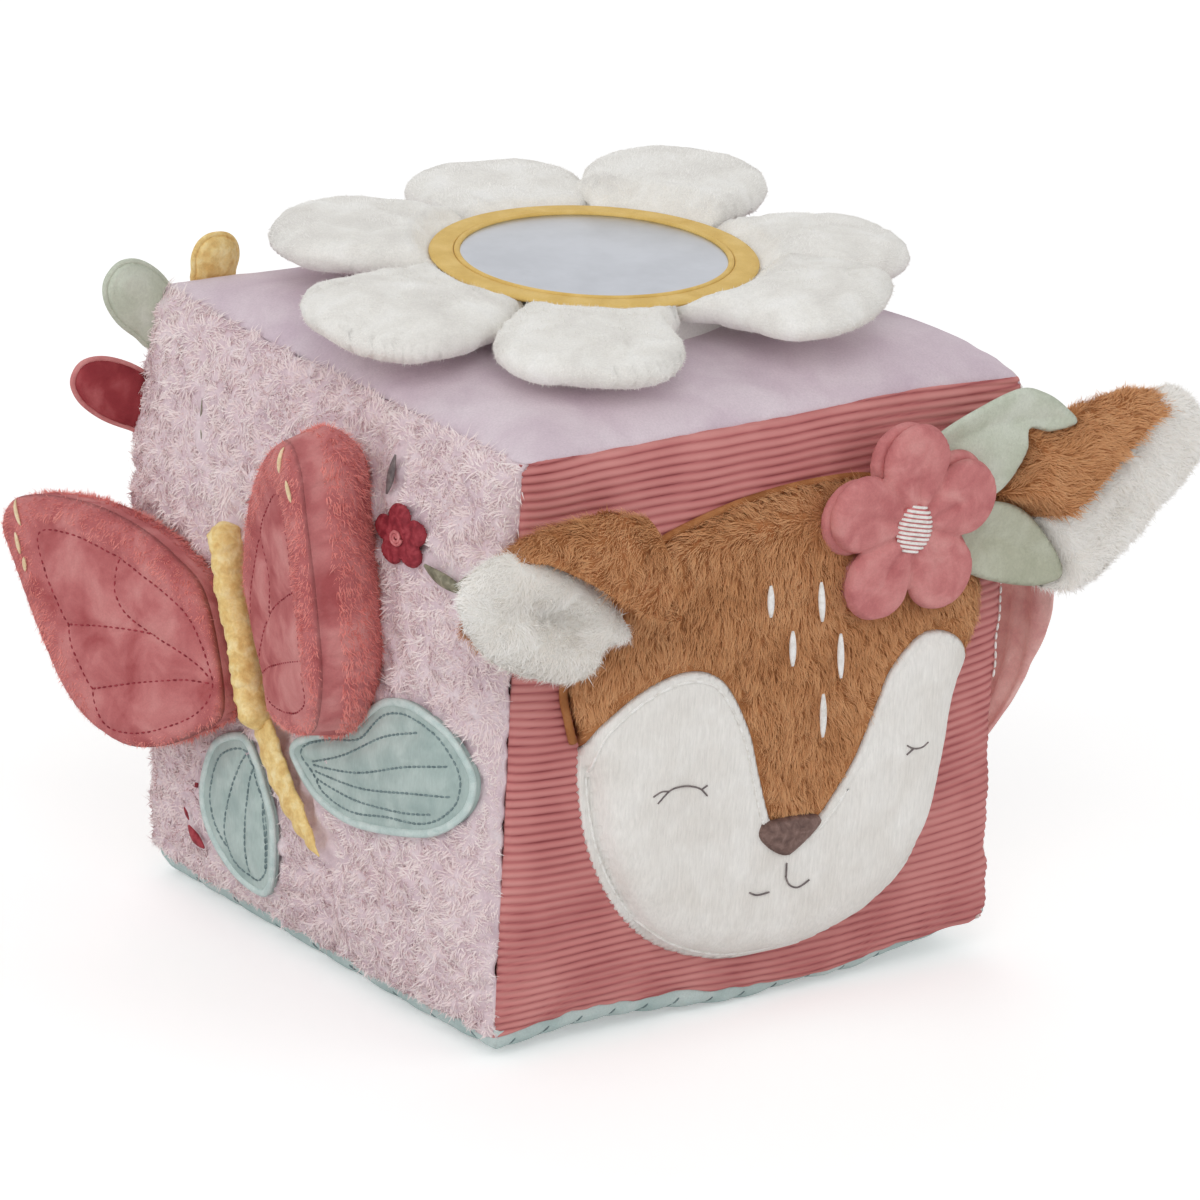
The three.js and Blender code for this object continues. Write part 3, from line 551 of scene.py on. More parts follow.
def link(name: str, mesh: bpy.types.Mesh) -> bpy.types.Object:
    """An object with a mesh, in the scene."""
    made = bpy.data.objects.new(name, mesh)
    bpy.context.scene.collection.objects.link(made)
    return made


def finished(name: str, shape: Mesh, matrix: Matrix) -> bpy.types.Object:
    """Makes a piece of a bmesh, shades it smooth and puts it in its place.

    Args:
        name: the piece's name.
        shape: the bmesh, which is used up.
        matrix: from its frame to the object's.

    Returns:
        The piece.
    """
    bmesh.ops.transform(shape, matrix=matrix, verts=shape.verts[:])
    bmesh.ops.recalc_face_normals(shape, faces=shape.faces[:])
    for face in shape.faces:
        face.smooth = True
    mesh = bpy.data.meshes.new(name)
    shape.to_mesh(mesh)
    shape.free()
    return link(name, mesh)


# Materials

Colour = tuple[int, int, int]


def linear(colour: Colour) -> tuple[float, float, float, float]:
    """A colour from the usual 0 to 255 to what the shader reads."""
    shares = [c / 255 for c in colour]
    return (*[s / 12.92 if s <= 0.04045 else ((s + 0.055) / 1.055) ** 2.4 for s in shares], 1.0)


class Tree:
    """Adds and joins the nodes of a material or of a node group."""

    def __init__(self, tree: bpy.types.NodeTree) -> None:
        self.tree = tree

    def add(self, kind: str, inputs: dict | None = None, **settings) -> bpy.types.Node:
        """Adds a node.

        Args:
            kind: its type.
            inputs: values or sockets for its inputs, by name or number.
            settings: its own properties.

        Returns:
            The node.
        """
        node = self.tree.nodes.new(kind)
        for name, value in settings.items():
            setattr(node, name, value)
        for key, value in (inputs or {}).items():
            if isinstance(value, bpy.types.NodeSocket):
                self.tree.links.new(value, node.inputs[key])
            else:
                node.inputs[key].default_value = value
        return node

    def mix(self, share, first, second, blend: str = "MIX") -> bpy.types.NodeSocket:
        """Mixes two colours by a share."""
        inputs = {0: share, 6: first, 7: second}
        return self.add("ShaderNodeMix", inputs, data_type="RGBA", blend_type=blend).outputs[2]

    def ramp(self, value, low: float = 0.0, high: float = 1.0, bottom: float = 0.0,
             top: float = 1.0) -> bpy.types.NodeSocket:
        """Maps the range of a value, from low to high, to another, from bottom to top."""
        inputs = {"Value": value, "From Min": low, "From Max": high, "To Min": bottom, "To Max": top}
        return self.add("ShaderNodeMapRange", inputs).outputs[0]

    def clouds(self, place, scale, detail: float, roughness: float = 0.5,
               distortion: float = 0.0) -> bpy.types.NodeSocket:
        """A soft random pattern."""
        inputs = {"Vector": place, "Scale": scale, "Detail": detail, "Roughness": roughness,
                  "Distortion": distortion}
        return self.add("ShaderNodeTexNoise", inputs).outputs[0]

    def join(self, source: bpy.types.NodeSocket, target: bpy.types.NodeSocket) -> None:
        """Joins an output to an input."""
        self.tree.links.new(source, target)


def new_group(name: str, inputs: dict[str, str],
              outputs: dict[str, str]) -> tuple[Tree, bpy.types.NodeOutputs, bpy.types.NodeInputs]:
    """An empty shader node group.

    Args:
        name: its name.
        inputs: the kind of each input socket, by name.
        outputs: the kind of each output socket, by name.

    Returns:
        Its tree, the sockets with what it is given and the sockets for its results.
    """
    tree = bpy.data.node_groups.new(name, "ShaderNodeTree")
    for direction, sockets in (("INPUT", inputs), ("OUTPUT", outputs)):
        for socket, kind in sockets.items():
            tree.interface.new_socket(socket, in_out=direction, socket_type=f"NodeSocket{kind}")
    build = Tree(tree)
    return build, build.add("NodeGroupInput").outputs, build.add("NodeGroupOutput").inputs


@functools.cache
def nap_group() -> bpy.types.NodeTree:
    """The patchy shade of brushed cloth, and the fine fibres of its surface."""
    build, given, result = new_group(
        "brushed_nap",
        {"Colour": "Color", "Dark": "Color", "Light": "Color", "Patch Scale": "Float", "Fibre Scale": "Float",
         "Stretch": "Vector"},
        {"Colour": "Color", "Height": "Float"})
    place = build.add("ShaderNodeTexCoord").outputs["Object"]
    patches = build.clouds(place, given["Patch Scale"], 3.0, 0.55, 0.4)
    drawn = build.add("ShaderNodeVectorMath", {0: place, 1: given["Stretch"]}, operation="MULTIPLY")
    fibres = build.clouds(drawn.outputs[0], given["Fibre Scale"], 4.0, 0.7)
    darker = build.mix(build.ramp(patches, 0.52, 0.3), given["Colour"], given["Dark"])
    lighter = build.mix(build.ramp(patches, 0.5, 0.72), darker, given["Light"])
    speck = build.ramp(fibres, 0.35, 0.65, 0.93, 1.05)
    grey = build.add("ShaderNodeCombineColor", {0: speck, 1: speck, 2: speck}).outputs[0]
    build.join(build.mix(1.0, lighter, grey, "MULTIPLY"), result["Colour"])
    build.join(fibres, result["Height"])
    return build.tree


@functools.cache
def tone_group() -> bpy.types.NodeTree:
    """The colour of a hair or rib from its dark root to its light tip, with patches; the dark root is painted
    shade and the light tip a painted highlight.
    """
    build, given, result = new_group(
        "root_to_tip", {"Root": "Color", "Middle": "Color", "Tip": "Color", "Patch Scale": "Float"},
        {"Colour": "Color"})
    tone = build.add("ShaderNodeAttribute", attribute_name="tone").outputs["Fac"]
    place = build.add("ShaderNodeTexCoord").outputs["Object"]
    shift = build.ramp(build.clouds(place, given["Patch Scale"], 2.0), 0.3, 0.7, -0.16, 0.16)
    shade = build.add("ShaderNodeMath", {0: tone, 1: shift}, operation="ADD", use_clamp=True).outputs[0]
    lower = build.mix(build.ramp(shade, 0.0, 0.45), given["Root"], given["Middle"])
    upper = build.mix(build.ramp(shade, 0.45, 1.0), lower, given["Tip"])
    build.join(upper, result["Colour"])
    return build.tree


@dataclass(frozen=True)
class Finish:
    """A brushed cloth, or another matt finish with patches and fibres.

    Attributes:
        name: the material's name.
        colour: its main colour.
        dark: its colour where the nap is brushed away.
        light: its colour where the nap catches the light.
        patch: how large its patches are, in millimetres.
        fibre: how large its fibres are, in millimetres.
        stretch: how the fibres are drawn out along X, Y and Z.
        depth: how deep its fibres are, in millimetres.
        sheen: how much its edges glow.
        roughness: how matt it is.
        metallic: 1 for a metal.
    """

    name: str
    colour: Colour
    dark: Colour
    light: Colour
    patch: float = 16.0
    fibre: float = 0.8
    stretch: tuple[float, float, float] = (1.0, 1.0, 1.0)
    depth: float = 0.25
    sheen: float = 0.12
    roughness: float = 0.92
    metallic: float = 0.0

    @functools.cache
    def make(self) -> bpy.types.Material:
        """The material, made once."""
        material, build, shader = new_material(self.name)
        nap = build.add("ShaderNodeGroup", node_tree=nap_group(),
                        inputs={"Colour": linear(self.colour), "Dark": linear(self.dark),
                                "Light": linear(self.light), "Patch Scale": 1 / (self.patch * MM),
                                "Fibre Scale": 1 / (self.fibre * MM), "Stretch": self.stretch})
        bump = build.add("ShaderNodeBump", {"Height": nap.outputs["Height"], "Distance": self.depth * MM,
                                            "Strength": 1.0})
        build.join(nap.outputs["Colour"], shader.inputs["Base Color"])
        build.join(bump.outputs[0], shader.inputs["Normal"])
        set_cloth(shader, self.roughness, self.sheen, self.light)
        shader.inputs["Metallic"].default_value = self.metallic
        return material


@dataclass(frozen=True)
class Hair:
    """The colours of a pile, or of anything with a tone from dark to light; the dark end is painted shade and
    the light end a painted highlight.

    Attributes:
        name: the material's name.
        root: the colour at the roots or in the grooves, darkened there as painted shade.
        middle: the main colour.
        tip: the colour at the tips or on the ridges, lightened there as painted highlight.
        patch: how large its patches are, in millimetres.
        sheen: how much its edges glow.
    """

    name: str
    root: Colour
    middle: Colour
    tip: Colour
    patch: float = 14.0
    sheen: float = 0.12

    @functools.cache
    def make(self) -> bpy.types.Material:
        """The material, made once."""
        material, build, shader = new_material(self.name)
        tones = build.add("ShaderNodeGroup", node_tree=tone_group(), inputs={
            "Root": linear(self.root), "Middle": linear(self.middle), "Tip": linear(self.tip),
            "Patch Scale": 1 / (self.patch * MM)})
        build.join(tones.outputs[0], shader.inputs["Base Color"])
        set_cloth(shader, 0.9, self.sheen, self.tip)
        return material


def new_material(name: str) -> tuple[bpy.types.Material, Tree, bpy.types.Node]:
    """A material with its tree and its shader."""
    material = bpy.data.materials.new(name)
    material.use_nodes = True
    shader = material.node_tree.nodes["Principled BSDF"]
    return material, Tree(material.node_tree), shader


def set_cloth(shader: bpy.types.Node, roughness: float, sheen: float, tint: Colour) -> None:
    """Gives a shader the plain values of a cloth.

    Args:
        shader: the shader.
        roughness: how matt it is.
        sheen: how much its edges glow.
        tint: the glow's colour.
    """
    values = {"Roughness": roughness, "Specular IOR Level": 0.25, "Sheen Weight": sheen,
              "Sheen Roughness": 0.5, "Sheen Tint": linear(tint)}
    for name, value in values.items():
        shader.inputs[name].default_value = value


# Finishes, the daisy and the cube first

LAVENDER = Finish("lavender_cloth", (218, 202, 211), (207, 188, 200), (227, 214, 221), patch=20, fibre=0.55,
                  depth=0.12, sheen=0.2)
PLUSH_SKIN = Finish("plush_backing", (226, 206, 212), (212, 190, 198), (236, 222, 226), patch=6, fibre=0.9)
# The piles have darker roots as painted shade among the hairs and lighter tips as painted highlight.
PLUSH = Hair("plush_pile", (234, 214, 216), (243, 227, 227), (250, 241, 239), patch=20, sheen=0.1)
# The corduroy's tone follows its ribs: painted shade in the grooves, painted highlight on the ridges.
CORDUROY = Hair("corduroy_ribs", (144, 73, 76), (191, 116, 115), (214, 147, 143), patch=18, sheen=0.1)
BLUSH = Finish("blush_cloth", (233, 219, 214), (228, 212, 207), (238, 226, 221), patch=30, fibre=0.55,
               depth=0.12)
AQUA = Finish("aqua_jersey", (196, 214, 212), (178, 200, 198), (212, 226, 224), patch=14, fibre=0.5,
              depth=0.12)
WHITE = Finish("white_cloth", (239, 237, 232), (228, 225, 220), (247, 246, 243), patch=12, fibre=0.5,
               depth=0.14, sheen=0.25)
GOLD = Finish("gold_binding", (223, 188, 110), (215, 178, 99), (231, 198, 124), patch=7, fibre=0.3,
              depth=0.07, sheen=0.1, roughness=0.6)
MIRROR = Finish("mirror_film", (190, 193, 200), (188, 191, 198), (193, 196, 203), patch=30, fibre=20,
                depth=0.01, sheen=0.0, roughness=0.3, metallic=1.0)
# The darker roots and lighter tips of these piles are painted shade and painted highlight.
WHITE_NAP = Hair("white_nap", (244, 242, 238), (249, 247, 244), (253, 252, 250), patch=12, sheen=0.1)
FUR = Hair("fawn_fur", (168, 111, 70), (212, 153, 104), (234, 184, 136), patch=16, sheen=0.1)
FUR_SKIN = Finish("fawn_backing", (178, 120, 76), (156, 102, 62), (198, 138, 92), patch=8, fibre=0.8)
PIPING = Finish("fawn_piping", (170, 112, 68), (146, 92, 54), (190, 134, 88), patch=6, fibre=0.6)
CREAM_PILE = Hair("cream_pile", (244, 239, 232), (250, 247, 243), (253, 252, 250), patch=14, sheen=0.1)
FACE = Finish("face_velour", (240, 237, 232), (234, 230, 224), (246, 244, 240), patch=14, fibre=0.6,
              stretch=(1.0, 1.0, 0.14), depth=0.25, sheen=0.1)
ROSE = Finish("rose_cloth", (208, 134, 133), (190, 112, 113), (219, 153, 150), patch=7, fibre=0.5, depth=0.15)
LOOP = Finish("loop_velour", (230, 176, 171), (216, 152, 149), (238, 194, 188), patch=6, fibre=0.5,
              depth=0.15)
SAGE = Finish("sage_felt", (203, 209, 193), (192, 199, 181), (213, 218, 205), patch=9, fibre=0.7, depth=0.2)
# A darker copy of the sage felt, its darkness painted shade, for the lower leaf that lies in shade.
SAGE_PAINTED_SHADE = Finish("sage_felt_shade", (187, 189, 169), (174, 177, 156), (198, 201, 183), patch=9, fibre=0.7,
                    depth=0.2)
WING = Finish("wing_velour", (195, 118, 118), (169, 85, 87), (212, 146, 143), patch=12, fibre=0.5, depth=0.15)
# The wing pile's darker roots and lighter tips are painted shade and painted highlight.
WING_PILE = Hair("wing_pile", (206, 111, 107), (236, 147, 140), (248, 177, 167), patch=14)
MUSTARD = Finish("mustard_satin", (240, 210, 142), (222, 182, 112), (250, 230, 176), patch=3.0, fibre=0.7,
                 depth=0.2, roughness=0.5)
WING_AQUA = Finish("wing_aqua_satin", (175, 192, 188), (158, 177, 174), (192, 207, 203), patch=9, fibre=0.5,
                   stretch=(1.0, 1.0, 0.2), depth=0.12, sheen=0.15, roughness=0.55)
PALE_AQUA = Finish("pale_aqua_thread", (200, 216, 213), (184, 204, 201), (214, 226, 223), patch=3,
                   fibre=0.3, depth=0.08, roughness=0.5)
WINE = Finish("wine_velour", (160, 66, 71), (136, 46, 53), (188, 102, 104), patch=9, fibre=0.5, depth=0.15)
FOAM = Finish("filling_foam", (226, 220, 206), (212, 204, 188), (238, 234, 222), patch=8, fibre=1.2,
              depth=0.4, sheen=0.0)
CASE = Finish("rattle_shell", (236, 236, 232), (230, 230, 226), (242, 242, 238), patch=10, fibre=0.4,
              depth=0.02, sheen=0.0, roughness=0.35)
BEAD = Finish("rattle_bead", (206, 168, 92), (198, 160, 84), (214, 178, 104), patch=4, fibre=0.4,
              depth=0.02, sheen=0.0, roughness=0.3)


def thread(name: str, colour: Colour, dark: Colour, light: Colour, roughness: float = 0.6) -> Finish:
    """The finish of a sewing thread."""
    return Finish(f"{name}_thread", colour, dark, light, patch=2, fibre=0.3, depth=0.05, roughness=roughness)


THREADS = {row[0]: thread(*row) for row in (
    ("white", (244, 242, 238), (226, 222, 216), (252, 251, 249)),
    ("grey", (118, 108, 108), (94, 86, 88), (144, 134, 132)),
    ("brown", (122, 97, 90), (98, 77, 72), (144, 119, 111)),
    ("wine", (150, 52, 62), (118, 36, 46), (176, 76, 84)),
    ("slate", (120, 138, 140), (98, 116, 120), (142, 160, 160)),
    ("olive", (134, 130, 110), (104, 102, 86), (168, 164, 144), 0.5),
    ("rose", (206, 120, 122), (182, 96, 100), (222, 144, 144)),
    ("cream", (236, 214, 176), (214, 188, 146), (246, 230, 200)),
)}


# Pieces

class Piece:
    """Makes, dresses and hands over finished pieces."""

    @staticmethod
    def make(name: str, shape: Mesh, matrix: Matrix, finish: Finish | Hair, body: str, slot: str,
             stands_for: Iterable[str] = (), bend: Sequence[Vector] = (), fill: float = 0.0) -> None:
        """Makes a piece of a bmesh and hands it over.

        Args:
            name: the piece's name.
            shape: the bmesh, which is used up.
            matrix: from its frame to the object's.
            finish: its finish.
            body: the body that it rides on.
            slot: the record's material slot.
            stands_for: the nodes that it replaces.
            bend: where it starts and ends to bend from the block to its body.
            fill: not used.
        """
        made = Piece.hand_over(finished(name, shape, matrix), finish, body, slot, stands_for, bend)

    @staticmethod
    def hand_over(made: bpy.types.Object, finish: Finish | Hair, body: str, slot: str,
                  stands_for: Iterable[str] = (), bend: Sequence[Vector] = ()) -> bpy.types.Object:
        """Dresses a piece and lets it ride on its body, or, where bend points are given, only bakes its place
        into its mesh.

        Args:
            made: the piece.
            finish: its finish.
            body: the body that it rides on.
            slot: the record's material slot.
            stands_for: the nodes that it replaces.
            bend: where it starts and ends to bend from the block to its body, or nothing where it doesn't;
                only whether any are given is read, and no bend is made.

        Returns:
            The piece.
        """
        made.data.materials.clear()
        made.data.materials.append(finish.make())
        if bend:
            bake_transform(made)
        else:
            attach(made, body)
        if stands_for:
            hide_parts(*stands_for)
        LOG.info("%s rides on %s: %d faces", made.name, body, len(made.data.polygons))
        return made


# Cube and plush

@dataclass
class Cube:
    """The stuffed cube and its six sewn panels.

    Attributes:
        half: half the seam-to-seam side.
        seam_pull: how far the stitches draw a seam in.
        seam_reach: how far from the seam the cloth is drawn in.
        wall: the thickness of the cloth.
        wale: the distance between the corduroy's ribs.
        wale_depth: the height of a rib.
        clump: the height of the plush's lumps.
        channel: the distance between the underside's quilted channels.
        channel_depth: how deep their stitches lie.
    """

    half: float = 75.0
    seam_pull: float = 1.1
    seam_reach: float = 3.2
    wall: float = 1.2
    wale: float = 2.24
    wale_depth: float = 0.55
    clump: float = 3.5
    channel: float = 8.6
    channel_depth: float = 1.1

    # Where the stuffing sags or bulges: the place, how far it moves there, and how far that reaches
    SLUMPS = (
        ((75, -75, 155), (3.2, -0.4, -3.2), 24.0),
        ((75, -66, 155), (1.5, 0.0, 1.2), 20.0),
        ((56, -52, 155), (0.0, 0.0, 3.4), 24.0),
        ((75, -75, 5), (3.4, -0.4, 2.8), 42.0),
        ((20, -75, 5), (0.0, 0.0, -2.6), 17.0),
        ((-42, -75, 5), (0.0, -0.4, 3.4), 27.0),
        ((75, -75, 98), (1.8, 0.0, 0.0), 26.0),
        ((-75, 75, 108), (-6.0, 4.5, 0.0), 38.0),
        ((-75, 72, 152), (-1.5, 1.0, 2.4), 22.0),
    )

    def __post_init__(self) -> None:
        low, high = (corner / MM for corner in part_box("front_panel"))
        middle = (low.z + high.z) / 2
        crowns = {
            Side.TOP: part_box("top_panel")[1].z / MM - middle - self.half,
            Side.FRONT: -low.y - self.half,
            Side.LEFT: -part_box("left_panel")[0].x / MM - self.half,
            Side.RIGHT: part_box("right_panel")[1].x / MM - self.half,
            Side.BACK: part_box("back_panel")[1].y / MM - self.half,
            Side.BASE: middle - self.half,
        }
        self.faces = {side: Face(side, self.half, middle, crown) for side, crown in crowns.items()}
        plush, base = self.faces[Side.LEFT], self.faces[Side.BASE]
        self.faces[Side.LEFT] = Face(Side.LEFT, plush.half, plush.middle, plush.crown, 7.0)
        self.faces[Side.BASE] = Face(Side.BASE, base.half, base.middle, base.crown, 4.0, 1.6)

    def shape(self, face: Face, places: Array) -> Array:
        """Lays flat cloth over a face, drawn in and puckered at its seams.

        Args:
            face: the face.
            places: the flat cloth's points.

        Returns:
            The points in the face's frame.
        """
        x, y = places[:, 0], places[:, 1]
        z = face.swell(x, y) + places[:, 2]
        result = rows(x, y, z)
        edge = face.world(rows(x, y, 0.0))
        pucker = 1 + 0.55 * ripple(edge, 5.5) + 0.5 * ripple(edge, 19, 3)
        for axis, place in ((0, x), (1, y)):
            fall = np.exp(-(self.half - np.abs(place)) / self.seam_reach) * pucker * self.seam_pull
            result[:, axis] -= np.sign(place) * fall
            result[:, 2] -= fall
        world = face.world(result)
        turn = np.array(face.matrix)[:3, :3] / MM
        for spot, shift, reach in self.SLUMPS:
            near = np.exp(-(np.linalg.norm(edge - spot, axis=1) / reach) ** 2)
            world += near[:, None] * np.array(shift)
        return (world - np.array(face.matrix)[:3, 3] / MM) @ turn

    def panel(self, name: str, side: Side, counts: tuple[int, int],
              relief: Callable[[Array, Array], Array] | None = None) -> bpy.types.Object:
        """A panel of cloth over a face.

        Args:
            name: the piece's name.
            side: the face.
            counts: how many quads it has along and up.
            relief: the cloth's own height from x and y.

        Returns:
            The piece, without a finish.
        """
        face = self.faces[side]
        sheet = bmesh.new()
        bmesh.ops.create_grid(sheet, x_segments=counts[0], y_segments=counts[1], size=self.half)
        places = coordinates(sheet)
        if relief:
            places[:, 2] = relief(places[:, 0], places[:, 1])
        move_to(sheet, self.shape(face, places))
        bmesh.ops.solidify(sheet, geom=sheet.faces[:], thickness=self.wall)
        return finished(name, sheet, face.matrix)

    def wales(self, x: Array, y: Array) -> Array:
        """Height of the corduroy's ribs, which wander a little."""
        places = rows(x, y, 0.0)
        wander = 1.3 * ripple(places, 46, 5) + 0.35 * ripple(places, 15, 9)
        rib = np.abs(np.sin(math.pi * (y + wander) / self.wale)) ** 0.7
        return self.wale_depth * rib

    def quilting(self, x: Array, y: Array) -> Array:
        """Height of the underside's quilted jersey, in slanting channels."""
        channel = np.abs(np.sin(math.pi * (x * 0.86 - y * 0.5) / self.channel))
        return self.channel_depth * (channel**0.45 - 1)

    def clumps(self, x: Array, y: Array) -> Array:
        """Height of the plush's soft lumps."""
        places = rows(x, y, 0.0)
        places += 2.0 * rows(ripple(places, 11, 2), ripple(places, 11, 6), places[:, 2])
        lumps = np.abs(ripple(places, 7.5, 4)) ** 0.6
        return self.clump * (0.75 * lumps + 0.35 * ripple(places, 3.6, 8))

    def build(self) -> None:
        """Makes and dresses the six panels."""
        panels = (("top", Side.TOP, (90, 90), None, LAVENDER, "lavender_velour"),
                  ("front", Side.FRONT, (75, 402), self.wales, CORDUROY, "corduroy"),
                  ("left", Side.LEFT, (130, 130), self.clumps, PLUSH_SKIN, "plush"),
                  ("right", Side.RIGHT, (90, 90), None, BLUSH, "blush_velour"),
                  ("back", Side.BACK, (90, 90), None, BLUSH, "blush_velour"),
                  ("base", Side.BASE, (150, 150), self.quilting, AQUA, "aqua_quilting"))
        for name, side, counts, relief, finish, slot in panels:
            made = self.panel(f"{name}_cover", side, counts, relief)
            if side is Side.FRONT:
                # Tone from the rib's height: painted shade in the grooves, painted highlight on the ridges.
                places = coordinates(made.data) / MM
                rib = self.wales(places[:, 0], places[:, 2] - self.faces[side].middle) / self.wale_depth
                set_tone(made.data, np.clip(rib * 0.85, 0, 1))
            Piece.hand_over(made, finish, "block", slot, [f"{name}_panel"])
        self.sew_seams()

    def sew_seams(self) -> None:
        """Sews the white stitches of the front's right seam and the slanting ones of the underside."""
        front, base = self.faces[Side.FRONT], self.faces[Side.BASE]
        ends = []
        for low, high in ((-6.0, 26.0), (60.0, 73.0)):
            along = np.linspace(low, high, 30)
            ends.append(self.shape(front, rows(74.2, along, 0.9)))
        Stitch(0.34, 2.0, 0.5).sew("seam_stitches", ends, front.matrix, THREADS["white"], "block", "corduroy")
        lines = []
        for k in range(-20, 21):
            along = np.linspace(-self.half + 1, self.half - 1, 90)
            across = (k * self.channel + 0.5 * along) / 0.86
            keep = np.abs(across) < self.half - 1
            if keep.sum() > 3:
                across, along = across[keep], along[keep]
                lines.append(self.shape(base, rows(across, along, 0.35 - self.channel_depth)))
        Stitch(0.36, 2.2, 0.4).sew("quilting_stitches", lines, base.matrix, THREADS["slate"], "block",
                                   "aqua_quilting")

    def grow_plush(self, spared: Callable[[Array], Array]) -> None:
        """Grows the long curly pile of the left face.

        Args:
            spared: tells for each place on the face how long its pile is, as a share.
        """
        face = self.faces[Side.LEFT]
        pile = Pile(length=1.65, width=0.42, spacing=0.62, lean=1.0, tuft=2.6, gather=0.5, curl=0.42,
                    segments=2)
        sheet = bmesh.new()
        bmesh.ops.create_grid(sheet, x_segments=110, y_segments=110, size=self.half)
        places = coordinates(sheet)
        places[:, 2] = self.clumps(places[:, 0], places[:, 1])
        move_to(sheet, self.shape(face, places))
        draw = np.random.RandomState(11)
        roots, out = scatter(sheet, pile.spacing, draw)
        sheet.free()
        length = spared(roots) * np.clip(0.6 + (self.half - roots[:, 0]) / 12, 0.6, 1)
        keep = length > 0.05
        roots, out, length = roots[keep], out[keep], length[keep]
        upper = np.exp((roots[:, 1] - self.half) / 2.5)
        out[:, 1] += 0.8 * upper
        out = unit(out)
        lay = rows(2 * ripple(roots, 4, 1), -0.2 + 2 * ripple(roots, 4, 2), -1.5 * upper)
        length = length * (1 + 0.4 * upper)
        Piece.hand_over(grow("left_pile", roots, out, lay, pile, 12, face.matrix, length), PLUSH, "block",
                        "plush")


# Daisy mirror

